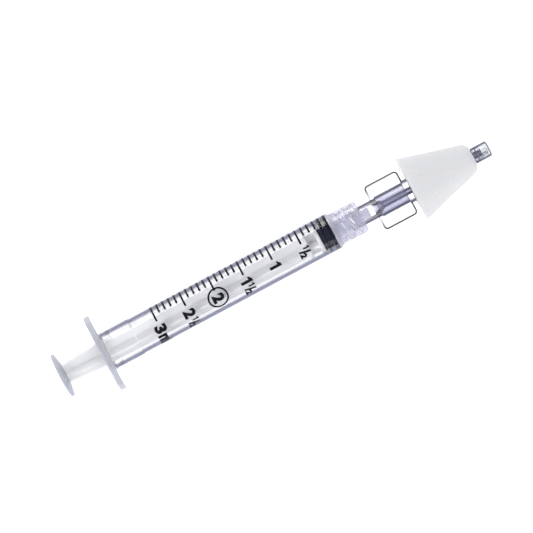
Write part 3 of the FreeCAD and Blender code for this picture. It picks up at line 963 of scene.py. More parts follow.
@dataclass
class Barrel:
    """Clear tube with finger flange, tapered nozzle and threaded lock collar, one moulding."""

    bore: float = 4.33
    outside: float = 4.95
    cuff: float = 5.125
    cuff_end: float = -57.9
    mouth_x: float = -67.7
    mouth_r: float = 4.65
    bead_x: float = -63.9
    bead_height: float = 0.13
    end_wall: float = 0.35
    shoulder: float = 0.8
    collar: float = 4.4
    collar_end: float = 8.95
    socket_floor: float = 1.6
    thread_root: float = 4.0
    thread_depth: float = 0.5
    thread_half: float = 0.6
    thread_lead: float = 5.0
    thread_start: float = 2.1
    thread_turns: float = 1.24
    nozzle_tip: float = 11.2
    nozzle_tip_r: float = 1.985
    luer_slope: float = 0.03
    nozzle_bore: float = 1.0
    flange_reach: float = 10.75
    flange_half: float = 6.2
    flange_thick: float = 1.65
    flange_edge: float = 0.45
    flange_root: float = 0.55
    finish: ClearPlastic = ClearPlastic(
        "clear_barrel_plastic",
        tint=(0.89, 0.89, 0.905),
        # Painted edge shade: dark blue where the tube's walls turn away from view.
        edge=(0.06, 0.07, 0.15),
        haze=0.008,
        edge_shade_opacity=0.5,
        edge_shade_span=(0.28, 0.46),
        skin=4.6,
        edge_shade_r=5.24,
        edge_shade_end=(0.35, 0.6),
        haze_steps=(
            HazeStep(-65.6, -66.4, 0.6, (0.64, 0.645, 0.71)),
            HazeStep(0.35, 0.6, 0.45, (0.74, 0.74, 0.85)),
            HazeStep(1.5, 1.9, -0.27, (0.84, 0.84, 0.93)),
        ),
    )

    def nozzle_r(self, x: float) -> float:
        """Radius of the nozzle at x: it grows backwards from the tip by the luer slope."""
        return self.nozzle_tip_r + self.luer_slope * (self.nozzle_tip - x)

    def corners(self) -> list[Corner]:
        """The wall's section, from the mouth round the outside to the nozzle and back inside.

        Returns:
            Its corners in order.
        """
        rim_front = self.mouth_x + self.flange_thick
        low = self.bore - self.bead_height
        return [
            Corner(self.mouth_x, self.mouth_r, 0.12),
            Corner(self.mouth_x, self.flange_reach, self.flange_edge),
            Corner(rim_front, self.flange_reach, self.flange_edge),
            Corner(rim_front, self.cuff, self.flange_root),
            Corner(self.cuff_end, self.cuff, 0.15),
            Corner(self.cuff_end + 0.5, self.outside, 0.15),
            Corner(self.shoulder, self.outside, 0.3),
            Corner(self.shoulder + 0.7, self.collar, 0.25),
            Corner(self.collar_end, self.collar, 0.28),
            Corner(self.collar_end, self.thread_root, 0.1, 0.08),
            Corner(self.socket_floor, self.thread_root, 0.15),
            Corner(self.socket_floor, self.nozzle_r(self.socket_floor), 0.15),
            Corner(self.nozzle_tip, self.nozzle_tip_r, 0.12),
            Corner(self.nozzle_tip, self.nozzle_bore, 0.1),
            Corner(self.end_wall, self.nozzle_bore, 0.15),
            Corner(self.end_wall, self.bore, 0.1),
            Corner(self.bead_x + 0.5, self.bore, 0.5),
            Corner(self.bead_x + 0.12, low, 0.3),
            Corner(self.bead_x - 0.12, low, 0.3),
            Corner(self.bead_x - 0.5, self.bore, 0.5),
        ]

    def flange_outline(self, angle: Array) -> Array:
        """Radius of the flange at an angle: a disc cut by two flat sides.

        Smooth minimum of the disc's radius and half width / |sin|: minus the logarithm of the
        sum of exp(-k a) and exp(-k b), over k, which rounds the four corners.

        Args:
            angle: angles from Y toward Z, in radians.

        Returns:
            The radius at each angle.
        """
        sharp, far = 4.6, 40.0
        flat = np.minimum(self.flange_half / np.maximum(np.abs(np.sin(angle)), 1e-3), far)
        return -np.log(np.exp(-sharp * self.flange_reach) + np.exp(-sharp * flat)) / sharp

    def thread_height(self, x: Array, angle: Array) -> Array:
        """Height of the two-start thread above the collar's inner wall.

        Each ridge's middle moves along X by the lead in a turn. Its profile is a raised cosine
        with its top cut flat, and it fades in and out over a twelfth of a turn at its ends.

        Args:
            x: places along the axis.
            angle: angles from Y toward Z, in radians, of the same shape.

        Returns:
            The height at each place.
        """
        fades_in_turn, over_top = 12, 1.25
        height = np.zeros_like(x)
        for start in (0.0, 0.5):
            for turn in (0, 1):
                turns = (angle / (2 * math.pi) - start) % 1.0 + turn
                away = np.abs(x - self.thread_start - self.thread_lead * turns)
                bell = 0.5 + 0.5 * np.cos(math.pi * np.minimum(away / self.thread_half, 1))
                ends = np.minimum(turns, self.thread_turns - turns)
                fade = np.clip(ends * fades_in_turn, 0, 1)
                ridge = self.thread_depth * np.minimum(bell * over_top, 1) * fade
                height = np.maximum(height, ridge)
        return height

    def shell(self) -> Surface:
        """Turn the section, then push the flange and the collar's inner wall to their own shapes.

        Beyond the root, a flange point keeps its distance from the rim: its radius is the
        outline's less that distance.

        Returns:
            The closed shell.
        """
        section = rounded_section(self.corners(), True)
        angle = np.arange(ROUND)[None] * (2 * math.pi / ROUND)
        x = np.repeat(section[:, :1], ROUND, 1)
        radius = np.repeat(section[:, 1:], ROUND, 1)
        root = self.cuff + self.flange_root + 0.015
        wide = self.flange_outline(angle) - (self.flange_reach - radius)
        radius = np.where(radius > root, np.maximum(wide, root), radius)
        inner = np.abs(radius - self.thread_root) < TINY
        inner &= (x > self.socket_floor + 0.1) & (x < self.collar_end - 0.1)
        radius = radius - np.where(inner, self.thread_height(x, angle + 0 * x), 0)
        grid = np.stack([x, radius * np.cos(angle), radius * np.sin(angle)], -1)
        return grid_shell(grid, True)

    def build(self) -> bpy.types.Object:
        """Build and dress the barrel."""
        return enter_piece("barrel_moulding", self.shell().mesh("barrel_moulding"), Body.BARREL,
                           self.finish.material(), ("barrel",), 42)


# ---------------------------------------------------------------- the printed scale


@dataclass(frozen=True)
class Mark:
    """One printed sign: its text, its box, and where its corner stands.

    Attributes:
        text: the sign.
        x: foot of the sign along the axis.
        along: start of the sign round the barrel, as arc length from the top.
        width: its width round the barrel.
        height: its height along the axis.
        bold: how much the strokes are thickened, as a share of the letter size.
    """

    text: str
    x: float
    along: float
    width: float
    height: float
    bold: float = 0.055


@dataclass
class ScalePrint:
    """The inked scale: 31 lines and the numbers, as a thin film on the barrel."""

    radius: float = 4.945
    film: float = 0.03
    pitch: float = 1.6978
    lines: int = 31
    width: float = 0.52
    outer_deg: float = 102
    short_deg: float = 32
    long_deg: float = 10.5
    every: int = 5
    circle_r: float = 2.6
    circle_stroke: float = 0.48
    tall: float = 3.3
    cut_width: float = 0.25
    one: tuple[Pair, ...] = ((0, 0.65), (0, 0.81), (0.26, 0.86), (0.47, 1), (1, 1),
                                            (1, 0), (0.46, 0), (0.46, 0.71))
    finish: PrintInk = PrintInk("scale_ink")

    def tick_shell(self) -> Surface:
        """All the lines at once.

        A line's section is a rectangle, its width along X by the film's thickness outward. It is
        carried round the barrel from the outer to the inner angle, which are read from the top
        toward +Y, so y is r sin a and z is r cos a.

        Returns:
            The closed shells.
        """
        number = np.arange(self.lines)
        inner = np.where(number % self.every == 0, self.long_deg, self.short_deg)
        share = np.linspace(0, 1, 40)
        angle = np.radians(self.outer_deg + (inner[:, None] - self.outer_deg) * share)[..., None]
        half = self.width / 2
        side = np.array([-half, half, half, -half])
        radius = self.radius + self.film * np.array([0, 0, 1, 1])
        x = (-self.pitch * number)[:, None, None] + side + 0 * angle
        grids = np.stack([x, radius * np.sin(angle), radius * np.cos(angle)], -1)
        return together(*[grid_shell(grid, False) for grid in grids])

    def flat_mark(self, mark: Mark) -> tuple[Array, Array]:
        """Outline one sign as a flat triangle mesh, fitted to its box.

        Args:
            mark: the sign.

        Returns:
            Its points (arc length, x) and its triangles.
        """
        work = bmesh.new()
        if mark.text == "1":
            work.faces.new([work.verts.new((x, y, 0)) for x, y in self.one])
        else:
            letters = bpy.data.curves.new("sign", "FONT")
            letters.body = mark.text
            letters.offset = mark.bold
            letters.resolution_u = 4
            holder = bpy.data.objects.new("sign", letters)
            bpy.context.scene.collection.objects.link(holder)
            graph = bpy.context.evaluated_depsgraph_get()
            mesh = bpy.data.meshes.new_from_object(holder.evaluated_get(graph))
            bpy.data.objects.remove(holder)
            bpy.data.curves.remove(letters)
            work.from_mesh(mesh)
            bpy.data.meshes.remove(mesh)
        bmesh.ops.remove_doubles(work, verts=work.verts, dist=1e-4)
        low = min(vertex.co.x for vertex in work.verts)
        high = max(vertex.co.x for vertex in work.verts)
        for cut in np.arange(low, high, self.cut_width / mark.width * (high - low))[1:]:
            everything = work.verts[:] + work.edges[:] + work.faces[:]
            bmesh.ops.bisect_plane(work, geom=everything, plane_co=(cut, 0, 0), plane_no=(1, 0, 0))
        bmesh.ops.triangulate(work, faces=work.faces)
        work.verts.index_update()
        points = np.array([vertex.co[:2] for vertex in work.verts])
        faces = np.array([[vertex.index for vertex in face.verts] for face in work.faces])
        work.free()
        corner, size = points.min(0), np.ptp(points, axis=0)
        points = (points - corner) / size * (mark.width, mark.height) + (mark.along, mark.x)
        return points, faces

    def film_shell(self, points: Array, faces: Array) -> Surface:
        """Wrap a flat sign on the barrel and give it the film's thickness.

        Arc length over the outer radius is the angle from the top toward -Y, so a point is at
        (x, -r sin a, r cos a). Sides stand on the edges that only one triangle uses.

        Args:
            points: (arc length, x) of each point.
            faces: triangles.

        Returns:
            The closed shell.
        """
        angle = points[:, 0] / (self.radius + self.film)
        shells = [
            np.column_stack([points[:, 1], -radius * np.sin(angle), radius * np.cos(angle)])
            for radius in (self.radius + self.film, self.radius)
        ]
        edges = np.vstack([faces[:, [0, 1]], faces[:, [1, 2]], faces[:, [2, 0]]])
        keys, counts = np.unique(np.sort(edges, 1), axis=0, return_counts=True)
        single = {tuple(key) for key in keys[counts == 1].tolist()}
        rim = np.array([edge for edge in edges.tolist() if tuple(sorted(edge)) in single])
        count = len(points)
        sides = np.column_stack([rim[:, 1], rim[:, 0], rim[:, 0] + count, rim[:, 1] + count])
        return Surface(np.vstack(shells), [faces, faces[:, ::-1] + count, sides])

    def circle_shell(self, x: float, along: float) -> Surface:
        """The ring round one number: a flat annulus, wrapped like the signs.

        Args:
            x: its middle along the axis.
            along: its middle round the barrel, as arc length from the top.

        Returns:
            The closed shell.
        """
        count = 96
        angle = np.arange(count) * (2 * math.pi / count)
        radius = (self.circle_r + self.circle_stroke * np.array([-0.5, 0.5]))[:, None]
        points = np.stack([along + radius * np.cos(angle), x + radius * np.sin(angle)], -1)
        quads = ring_faces(2, count, False)
        faces = np.vstack([quads[:, [0, 1, 2]], quads[:, [0, 2, 3]]])
        return self.film_shell(points.reshape(-1, 2), faces)

    def marks(self) -> list[Mark]:
        """The numbers of the scale, at every half millilitre, and the unit after the last one.

        Returns:
            The signs.
        """
        half = self.pitch * self.every
        feet = [-step * half - self.tall / 2 for step in range(7)]
        signs: list[Mark] = []
        for step, whole in ((2, "1"), (3, "1"), (4, "2"), (5, "2"), (6, "3")):
            start, width = (0.0, 1.5) if whole == "1" else (0.2, 2.3)
            signs.append(Mark(whole, feet[step], start, width, self.tall))
        for step, start in ((1, -0.15), (3, 1.85), (5, 2.95)):
            signs.append(Mark("1", feet[step] + 1.55, start, 0.8, 1.75))
            signs.append(Mark("/", feet[step] + 0.1, start + 0.85, 1.2, 3.1, 0.065))
            signs.append(Mark("2", feet[step], start + 1.65, 1.4, 1.8, 0.07))
        signs.append(Mark("m", feet[6], 2.95, 3.3, 2.5))
        signs.append(Mark("L", feet[6], 6.75, 1.9, self.tall))
        return signs

    def build(self) -> bpy.types.Object:
        """Build and dress the printed scale.

        Returns:
            The new object.
        """
        shells = [self.tick_shell(), self.circle_shell(-4 * self.pitch * self.every, 1.2)]
        shells += [self.film_shell(*self.flat_mark(mark)) for mark in self.marks()]
        return enter_piece("printed_scale", together(*shells).mesh("printed_scale"), Body.BARREL,
                           self.finish.material(), ("scale_print",))


# ---------------------------------------------------------------- plunger


@dataclass(frozen=True)
class SnapHead:
    """Sizes of the rod's barbed head, which the socket in the stopper follows."""

    neck_r: float = 1.3
    barb_x: float = -2.45
    barb_r: float = 2.0
    tip_x: float = -0.95
    tip_r: float = 1.2


@dataclass
class PlungerRod:
    """White rod: thumb rest, cross of four ribs, two discs and the snap head."""

    thumb_x: float = -80.1
    thumb_flat: float = 3.6
    thumb_r: float = 6.1
    thumb_rim: float = -79.85
    thumb_inner: float = -78.95
    grip_pitch: float = 0.8
    grip_rings: int = 3
    grip_depth: float = 0.09
    boss_x: float = -78.3
    boss_r: float = 2.3
    rib_half: float = 0.5
    rib_tip_round: float = 0.3
    rib_root_round: float = 0.4
    knee: Pair = (-76.0, 2.75)
    full: Pair = (-68.0, 3.5)
    thumb_rib: float = 2.5
    turn_deg: float = 31
    guide_x: float = -7.7
    guide_thick: float = 0.8
    guide_r: float = 3.9
    disc_x: float = -4.4
    disc_front: float = -3.35
    disc_r: float = 4.05
    snap: SnapHead = SnapHead()
    finish: WhitePlastic = WhitePlastic("white_rod_plastic")

    def thumb_rest(self) -> Surface:
        """Turn the thumb rest; three shallow grip rings are pressed in its flat middle.

        A ring's depth follows one less the cosine of the radius over the rings' spacing.

        Returns:
            The closed shell.
        """
        section = rounded_section([
            Corner(self.thumb_x, 0.0, 0, 0.1),
            Corner(self.thumb_x, self.thumb_flat, 0.5),
            Corner(self.thumb_rim, self.thumb_r, 0.33),
            Corner(self.thumb_inner, self.thumb_r, 0.33),
            Corner(self.boss_x, self.boss_r, 0.3),
            Corner(self.boss_x, 0.0),
        ], False)[1:-1]
        x, radius = section.T
        first, final = self.grip_pitch, self.grip_pitch * (self.grip_rings + 1)
        ringed = (x < self.thumb_x + TINY) & (radius > first) & (radius < final + 0.01)
        wave = 0.5 - 0.5 * np.cos((radius - first) / self.grip_pitch * 2 * math.pi)
        section = np.column_stack([x + np.where(ringed, self.grip_depth * wave, 0), radius])
        return grid_shell(lathe_grid(section), False)

    def ribs(self) -> Surface:
        """Carry a cross with rounded arms along the axis.

        One arm is a run of points (outward, sideways, weight); the arm's reach times the weight is
        added outward, so only its tip follows the reach. The other arms are quarter turns of it.

        Returns:
            The closed shell.
        """
        half, tip, root = self.rib_half, self.rib_tip_round, self.rib_root_round
        quarter = np.linspace(0, math.pi / 2, 5)
        fillet = [(half + root - root * math.sin(a), -half - root + root * math.cos(a), 0)
                  for a in quarter[::-1]]
        near = [(-tip + tip * math.sin(a), -half + tip - tip * math.cos(a), 1) for a in quarter]
        far = [(-tip + tip * math.cos(a), half - tip + tip * math.sin(a), 1) for a in quarter]
        arm = np.array(fillet + [(-tip - 0.06, -half, 1)] + near + far + [(-tip - 0.06, half, 1)])
        straight = self.full[0] + 2
        x = np.concatenate([np.linspace(self.boss_x - 0.2, straight, 40),
                            np.linspace(straight + 0.5, self.disc_x + 0.1, 60)])
        knots = (self.boss_x, self.knee[0], self.full[0])
        reach = np.interp(x, knots, (self.thumb_rib, self.knee[1], self.full[1]))
        out = arm[:, 0] + reach[:, None] * arm[:, 2]
        side = np.repeat(arm[None, :, 1], len(x), 0)
        arms = [(out, side), (-side, out), (-out, -side), (side, -out)]
        y = np.hstack([pair[0] for pair in arms])
        z = np.hstack([pair[1] for pair in arms])
        return grid_shell(np.stack([np.repeat(x[:, None], y.shape[1], 1), y, z], -1), False)

    def head(self) -> Surface:
        """Turn the disc behind the stopper with the neck and the barbed head.

        Returns:
            The closed shell.
        """
        snap = self.snap
        return turned_solid([
            Corner(self.disc_x, 0.0),
            Corner(self.disc_x, self.disc_r, 0.15),
            Corner(self.disc_front, self.disc_r, 0.12),
            Corner(self.disc_front, snap.neck_r, 0.12),
            Corner(snap.barb_x, snap.neck_r, 0.08),
            Corner(snap.barb_x, snap.barb_r, 0.08),
            Corner(snap.barb_x + 0.5, snap.barb_r, 0.12),
            Corner(snap.tip_x, snap.tip_r, 0.2),
            Corner(snap.tip_x, 0.0),
        ])

    def guide(self) -> Surface:
        """Turn the thin guide disc.

        Returns:
            The closed shell.
        """
        front = self.guide_x + self.guide_thick
        return turned_solid([
            Corner(self.guide_x, 0.0),
            Corner(self.guide_x, self.guide_r, 0.15),
            Corner(front, self.guide_r, 0.15),
            Corner(front, 0.0),
        ])

    def build(self) -> bpy.types.Object:
        """Build and dress the rod.

        Returns:
            The new object.
        """
        ribs = self.ribs().turned(self.turn_deg)
        mesh = combined("rod_moulding", ribs, (Mix.ADD, self.thumb_rest()), (Mix.ADD, self.guide()),
                        (Mix.ADD, self.head()))
        return enter_piece("rod_moulding", mesh, Body.ROD, self.finish.material(),
                           ("plunger_rod",))


@dataclass
class Stopper:
    """Black rubber stopper with two sealing rings pressed against the bore."""

    back: float = -3.3
    tail_r: float = 3.85
    skirt: float = -2.5
    seal_r: float = 4.333
    waist_r: float = 4.0
    rear_front: float = -1.7
    front_back: float = -0.8
    face: float = 0.33
    gap: float = 0.05
    snap: SnapHead = SnapHead()
    finish: BlackRubber = BlackRubber("stopper_rubber")

    def shell(self) -> Surface:
        """Turn the rubber with its socket, from the socket's floor out round the rings.

        Returns:
            The closed shell.
        """
        snap, gap = self.snap, self.gap
        return turned_solid([
            Corner(snap.tip_x + gap, 0.0),
            Corner(snap.tip_x + gap, snap.tip_r + gap, 0.1),
            Corner(snap.barb_x + 0.55, snap.barb_r + gap, 0.1),
            Corner(snap.barb_x - gap, snap.barb_r + gap, 0.05),
            Corner(snap.barb_x - gap, snap.neck_r + gap, 0.05),
            Corner(self.back, snap.neck_r + gap, 0.1),
            Corner(self.back, self.tail_r, 0.2),
            Corner(self.skirt, self.waist_r, 0.1),
            Corner(self.skirt, self.seal_r, 0.2),
            Corner(self.rear_front, self.seal_r, 0.2),
            Corner(self.rear_front, self.waist_r, 0.15),
            Corner(self.front_back, self.waist_r, 0.15),
            Corner(self.front_back, self.seal_r, 0.2),
            Corner(self.face, self.seal_r, 0.12),
            Corner(self.face, 0.0),
        ])

    def build(self) -> bpy.types.Object:
        """Build and dress the stopper."""
        return enter_piece("stopper_rubber", self.shell().mesh("stopper_rubber"), Body.STOPPER,
                           self.finish.material(), ("stopper",))


# ---------------------------------------------------------------- atomiser


@dataclass
class AtomizerBody:
    """Clear moulding of the atomiser: lugs, hub, wings, stem and spigot."""

    back: float = 5.35
    hub_r: float = 2.58
    stem_x: float = 14.0
    stem_r: float = 2.85
    seat_x: float = 22.0
    seat_r: float = 3.3
    seat_end: float = 23.6
    spindle_r: float = 1.75
    collar_x: float = 42.0
    collar_r: float = 2.15
    spigot_x: float = 43.0
    spigot_r: float = 1.5
    spigot_end: float = 44.3
    mouth_r: float = 2.18
    floor_x: float = 12.6
    floor_r: float = 1.963
    funnel_x: float = 15.4
    channel_r: float = 0.6
    lug_r: float = 3.88
    lug_thick: float = 0.8
    lug_half_deg: float = 14
    wing_x: Pair = (12.75, 22.5)
    wing_reach: float = 6.38
    wing_thick: float = 1.0
    wing_corner: float = 1.1
    wing_edge: float = 0.42
    # rim_shade_fade: how soon the painted shade on the wings' rim fades inward, in millimetres.
    wing_flat: float = 0.1
    rim_shade_fade: float = 0.2
    finish: ClearPlastic = ClearPlastic(
        "clear_atomizer_plastic",
        tint=(0.965, 0.967, 0.975),
        # Painted edge shade: dark violet where the walls turn away from view, sooner on the
        # channel's wall.
        edge=(0.03, 0.027, 0.09),
        haze=0.015,
        edge_shade_opacity=0.85,
        edge_shade_span=(0.2, 0.4),
        edge_shade_r=3.36,
        core=0.7,
        heart=Heart(2.86, 13.8, 0.24, (0.6, 0.6, 0.76)),
        ior=1.57,
        roughness=(0.01, 0.03),
    )

    def outside(self) -> Surface:
        """Turn the hub, stem, seat, spindle and spigot.

        Returns:
            The closed shell.
        """
        return turned_solid([
            Corner(self.back, 0.0),
            Corner(self.back, self.hub_r, 0.1),
            Corner(self.stem_x, self.hub_r, 0.12),
            Corner(self.stem_x, self.stem_r, 0.12),
            Corner(self.seat_x, self.stem_r, 0.12),
            Corner(self.seat_x, self.seat_r, 0.12),
            Corner(self.seat_end, self.seat_r, 0.12),
            Corner(self.seat_end, self.spindle_r, 0.12),
            Corner(self.collar_x, self.spindle_r, 0.08),
            Corner(self.collar_x, self.collar_r, 0.12),
            Corner(self.spigot_x, self.collar_r, 0.06),
            Corner(self.spigot_x, self.spigot_r, 0.06),
            Corner(self.spigot_end, self.spigot_r, 0.12),
            Corner(self.spigot_end, 0.0),
        ])

    def bore(self) -> Surface:
        """Turn the space inside: luer taper, funnel and spray channel.

        Returns:
            The closed shell.
        """
        return turned_solid([
            Corner(self.back - 1, 0.0),
            Corner(self.back - 1, self.mouth_r + 0.03),
            Corner(self.floor_x, self.floor_r, 0.1),
            Corner(self.funnel_x, self.channel_r, 0.3),
            Corner(self.spigot_end + 1, self.channel_r),
            Corner(self.spigot_end + 1, 0.0),
        ], 96)

    def wings(self) -> Surface:
        """A plate with round corners and a soft rim.

        The outline is a rounded rectangle: each corner arc is its centre plus the corner radius
        less the inset, at the angle. The rim is a quarter circle from the flat face to the side,
        inset by edge (1 - sin a) at the height half - edge (1 - cos a).

        Returns:
            The closed shell.
        """
        low, high = self.wing_x
        turn = np.linspace(0, math.pi / 2, 10)
        angle = np.concatenate([turn + k * math.pi / 2 for k in range(4)])
        middle_x, middle_y = (low + high) / 2, 0.0
        side = np.repeat(np.array([(1, 1), (-1, 1), (-1, -1), (1, -1)]), len(turn), 0)
        centre = side * ((high - low) / 2 - self.wing_corner, self.wing_reach - self.wing_corner)
        bend = np.linspace(0, math.pi / 2, 7)
        inset = self.wing_edge * (1 - np.sin(bend))
        height = self.wing_thick / 2 - self.wing_edge * (1 - np.cos(bend))
        face = [self.wing_edge + self.wing_flat]
        inset = np.concatenate([face, inset, inset[::-1], face])
        top = [self.wing_thick / 2]
        height = np.concatenate([top, height, -height[::-1], np.negative(top)])
        reach = (self.wing_corner - inset)[:, None]
        x = middle_x + centre[:, 0] + reach * np.cos(angle)
        y = middle_y + centre[:, 1] + reach * np.sin(angle)
        z = np.repeat(height[:, None], len(angle), 1)
        return grid_shell(np.stack([x, y, z], -1), False)

    def rim_shade_paint(self, x: Array, y: Array, z: Array) -> Array:
        """Paint shade on the wings' soft rim, standing in for the darkness that clear plastic shows
        at its rounded edges.

        A point's depth inside the plate is the corner radius less its distance from the rectangle
        through the corners' centres, and the paint falls from 1 at the side to 0 at the rim's inner
        edge. Points on the hub stay 0.

        Args:
            x: places along the axis.
            y: places across it, along the wings.
            z: places across it, through the wings.

        Returns:
            The paint at each point.
        """
        low, high = self.wing_x
        past_x = np.abs(x - (low + high) / 2) - ((high - low) / 2 - self.wing_corner)
        past_y = np.abs(y) - (self.wing_reach - self.wing_corner)
        outer = np.hypot(np.maximum(past_x, 0), np.maximum(past_y, 0))
        depth = self.wing_corner - outer - np.minimum(np.maximum(past_x, past_y), 0)
        slack = 0.01
        on_wing = (np.abs(y) > self.stem_r) & (depth > -slack)
        on_wing &= np.abs(z) <= self.wing_thick / 2 + slack
        paint = np.clip((self.wing_edge + self.wing_flat - depth) / self.rim_shade_fade, 0, 1)
        return np.where(on_wing, paint, 0)

    def lug(self, turn_deg: float) -> Surface:
        """One lock lug: a block between two radii, as wide as its angle.

        Args:
            turn_deg: where it stands round the hub.

        Returns:
            The closed shell.
        """
        angle = np.radians(turn_deg + np.linspace(-self.lug_half_deg, self.lug_half_deg, 9))
        root, bevel, top = self.hub_r - 0.2, self.lug_r - 0.1, self.lug_r
        radius = np.array([root, bevel, top, top, bevel, root])
        x = self.back + self.lug_thick * np.array([0, 0, 0.12, 0.88, 1, 1])
        across = [radius * np.cos(angle)[:, None], radius * np.sin(angle)[:, None]]
        return grid_shell(np.stack([x + 0 * angle[:, None], *across], -1), False)

    def build(self) -> bpy.types.Object:
        """Build and dress the atomiser body.

        Returns:
            The new object.
        """
        mesh = combined("atomizer_moulding", self.outside(), (Mix.ADD, self.wings()),
                        (Mix.ADD, self.lug(0)), (Mix.ADD, self.lug(180)), (Mix.CUT, self.bore()))
        # Painted shade on the wings' rim.
        paint_rim_shade(mesh, self.rim_shade_paint(*read_points(mesh)))
        return enter_piece("atomizer_moulding", mesh, Body.ATOMIZER,
                           self.finish.material(), ("atomizer_body",))


@dataclass
class SprayTip:
    """Clear cap at the front, and the finish of the swirl insert inside it."""

    back: float = 43.0
    front: float = 46.6
    radius: float = 2.15
    inside: float = 1.5
    wall: float = 0.7
    hole: float = 0.15
    dimple_r: float = 0.55
    dimple: float = 0.15
    edge: float = 0.45
    # rim_shade_fade and rim_shade_full: how soon and how dark the painted shade on the front edge
    # is.
    rim_shade_fade: float = 0.2
    rim_shade_full: float = 0.9
    finish: ClearPlastic = ClearPlastic(
        "clear_tip_plastic",
        tint=(0.95, 0.955, 0.98),
        # Painted edge shade: dark where the cap's wall turns away from view.
        edge=(0.05, 0.055, 0.12),
        haze=0.03,
        edge_shade_opacity=0.8,
        edge_shade_span=(0.18, 0.38),
        skin=1.9,
        # Painted shade at the cap's back face, where it meets the atomiser's collar.
        back_shade=(43.1, 43.2),
        ior=1.57,
        roughness=(0.02, 0.05),
    )
    insert_finish: ClearPlastic = ClearPlastic(
        "swirl_insert_plastic",
        tint=(0.96, 0.96, 0.97),
        # Painted edge shade: grey where the insert turns away from view.
        edge=(0.3, 0.3, 0.4),
        haze=0.12,
        edge_shade_opacity=0.2,
    )

    def shell(self) -> Surface:
        """Turn the cap, with a small dimple round the spray hole.

        Returns:
            The closed shell.
        """
        return turned_ring([
            Corner(self.back, self.inside, 0.05),
            Corner(self.back, self.radius, 0.08),
            Corner(self.front, self.radius, self.edge),
            Corner(self.front, self.dimple_r, 0.1),
            Corner(self.front - self.dimple, self.hole, 0.03),
            Corner(self.front - self.wall, self.hole, 0.05),
            Corner(self.front - self.wall, self.inside, 0.1),
        ], 128)

    def rim_shade_paint(self, x: Array, y: Array, z: Array) -> Array:
        """Paint shade on the rounded front edge, standing in for the darkness that the clear cap
        shows there.

        The paint rises with X from 0 at the start of the rounding.

        Args:
            x: places along the axis.
            y: places across it.
            z: places across it.

        Returns:
            The paint at each point.
        """
        paint = np.clip((x - self.front + self.edge) / self.rim_shade_fade, 0, self.rim_shade_full)
        return np.where(np.hypot(y, z) > self.inside + 0.1, paint, 0)

    def build(self) -> bpy.types.Object:
        """Build and dress the cap, and dress the insert.

        Returns:
            The new object of the cap.
        """
        insert = frame["nodes"]["swirl_insert"]
        insert.data.materials.clear()
        insert.data.materials.append(self.insert_finish.material())
        LOG.info("swirl_insert: dressed as it is")
        mesh = self.shell().mesh("spray_cap")
        # Painted shade on the cap's rounded front edge.
        paint_rim_shade(mesh, self.rim_shade_paint(*read_points(mesh)))
        return enter_piece("spray_cap", mesh, Body.ATOMIZER,
                           self.finish.material(), ("spray_tip",))


@dataclass
class NasalPlug:
    """Soft foam cone round the stem."""

    back: float = 23.7
    base_r: float = 9.05
    mid: Pair = (30.5, 6.95)
    front: float = 41.9
    front_r: float = 3.86
    nose: float = 2.15
    hole: float = 1.8
    finish: SoftFoam = SoftFoam("white_foam_skin")

    def shell(self) -> Surface:
        """Turn the cone.

        Returns:
            The closed shell.
        """
        return turned_ring([
            Corner(self.back, self.hole, 0.15),
            Corner(self.back, self.base_r, 0.12),
            Corner(*self.mid, 12.0, 0.5),
            Corner(self.front, self.front_r, self.nose),
            Corner(self.front, self.hole, 0.2),
        ])

    def build(self) -> bpy.types.Object:
        """Build and dress the plug.

        Returns:
            The new object.
        """
        plug = enter_piece("foam_plug", self.shell().mesh("foam_plug"), Body.PLUG,
                           self.finish.material(), ("nasal_plug",))
        return plug


# ---------------------------------------------------------------- studio


@dataclass(frozen=True)
class Softbox:
    """A rectangular lamp that faces the object.

    Attributes:
        name: name of the lamp.
        place: where it stands, in metres.
        size: its width along X and its height, in metres.
        brightness: its radiance.
        through: True lets it shine through the clear pieces without a shadow.
    """

    name: str
    place: tuple[float, float, float]
    size: Pair
    brightness: float
    through: bool = False


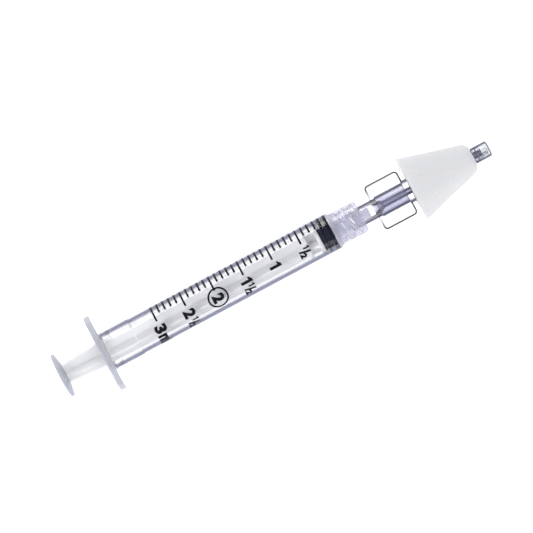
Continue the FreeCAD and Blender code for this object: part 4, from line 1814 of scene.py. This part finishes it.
@dataclass
class Studio:
    """Floor, soft lights, surroundings and the camera above."""

    clear_pieces: list[bpy.types.Object]
    lamps: tuple[Softbox, ...] = (
        Softbox("front_softbox", (0.75, -0.15, 0.85), (0.9, 0.9), 2.4),
        Softbox("rear_softbox", (-0.79, -0.15, 0.85), (0.9, 0.9), 3.1, True),
        Softbox("far_side_strip", (-0.02, 0.75, 0.2), (0.24, 0.5), 4.4),
        Softbox("near_side_softbox", (-0.02, -0.75, 0.42), (0.8, 0.4), 1.0),
    )
    aim: tuple[float, float, float] = (-0.015, 0, 0)
    low_sky: Colour = (0.46, 0.46, 0.52)
    high_sky: Colour = (0.16, 0.17, 0.21)
    sky_strength: float = 0.6
    floor_size: float = 3.0
    floor_gap: float = 0.05
    rest_points: tuple[Pair, Pair] = ((23.7, -9.05), (-79.4, -6.1))
    camera_place: tuple[float, float, float] = (-0.0191, 0.00005, 1.1)
    camera_turn_deg: float = -28.1
    lens: float = 284.8
    finish: FloorPaint = FloorPaint("studio_floor")

    def floor(self) -> None:
        """Lay a wide plane just under the two points that the object rests on."""
        (x0, z0), (x1, z1) = self.rest_points
        slope = (z1 - z0) / (x1 - x0)
        count = 9
        side = np.linspace(-self.floor_size / 2, self.floor_size / 2, count)
        x, y = np.meshgrid(side, side, indexing="ij")
        z = (z0 - self.floor_gap) * MM + slope * (x - x0 * MM)
        index = np.arange(count**2).reshape(count, count)
        corners = [index[:-1, :-1], index[1:, :-1], index[1:, 1:], index[:-1, 1:]]
        quads = np.stack(corners, -1).reshape(-1, 4)
        mesh = bpy.data.meshes.new("floor")
        mesh.from_pydata(np.stack([x, y, z], -1).reshape(-1, 3).tolist(), [], quads.tolist())
        mesh.materials.append(self.finish.material())
        floor = bpy.data.objects.new("floor", mesh)
        bpy.context.scene.collection.objects.link(floor)

    def light(self, softbox: Softbox) -> None:
        """Hang one lamp: its power is its brightness times its area times pi.

        Args:
            softbox: the lamp's place, size and brightness.
        """
        lamp = bpy.data.lights.new(softbox.name, "AREA")
        lamp.shape = "RECTANGLE"
        width, height = softbox.size
        lamp.size, lamp.size_y = width, height
        lamp.energy = softbox.brightness * width * height * math.pi
        holder = bpy.data.objects.new(softbox.name, lamp)
        holder.location = softbox.place
        aim = Vector(self.aim) - Vector(softbox.place)
        holder.rotation_euler = aim.to_track_quat("-Z", "Y").to_euler()
        bpy.context.scene.collection.objects.link(holder)
        if softbox.through:
            passed = bpy.data.collections.new(f"{softbox.name}_passes")
            for piece in self.clear_pieces:
                passed.objects.link(piece)
            for member in passed.collection_objects:
                member.light_linking.link_state = "EXCLUDE"
            holder.light_linking.blocker_collection = passed

    def surroundings(self) -> None:
        """Dim bluish surroundings, darker overhead."""
        world = bpy.data.worlds.new("surroundings")
        bpy.context.scene.world = world
        board = NodeBoard(world)
        place = board.add("ShaderNodeTexCoord").outputs["Generated"]
        height = board.add("ShaderNodeSeparateXYZ", Vector=place).outputs["Z"]
        colour = board.blend(board.span(height, (0.0, 0.7), (0, 1)), self.low_sky, self.high_sky)
        background = board.add("ShaderNodeBackground", Color=colour, Strength=self.sky_strength)
        board.add("ShaderNodeOutputWorld", Surface=background.outputs[0])

    def camera(self) -> None:
        """The camera, looking straight down."""
        data = bpy.data.cameras.new("camera")
        data.lens = self.lens
        data.sensor_width = 36
        data.clip_start = 0.05
        data.clip_end = 20
        holder = bpy.data.objects.new("camera", data)
        holder.location = self.camera_place
        holder.rotation_euler = (0, 0, math.radians(self.camera_turn_deg))
        bpy.context.scene.collection.objects.link(holder)
        bpy.context.scene.camera = holder

    def build(self) -> None:
        """Set up the whole studio."""
        self.floor()
        self.surroundings()
        for softbox in self.lamps:
            self.light(softbox)
        self.camera()
        bpy.context.scene.view_settings.view_transform = "Standard"
        LOG.info("studio: floor, surroundings, %d lamps and camera", len(self.lamps))


def main() -> None:
    """Build every sub-assembly in order, then the studio."""
    logging.basicConfig(level=logging.INFO, format="%(name)s: %(message)s")
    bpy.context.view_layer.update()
    clear_pieces = [maker.build() for maker in (Barrel(), AtomizerBody(), SprayTip())]
    for maker in (ScalePrint(), PlungerRod(), Stopper(), NasalPlug()):
        maker.build()
    Studio(clear_pieces).build()


if __name__ == "__main__":
    main()
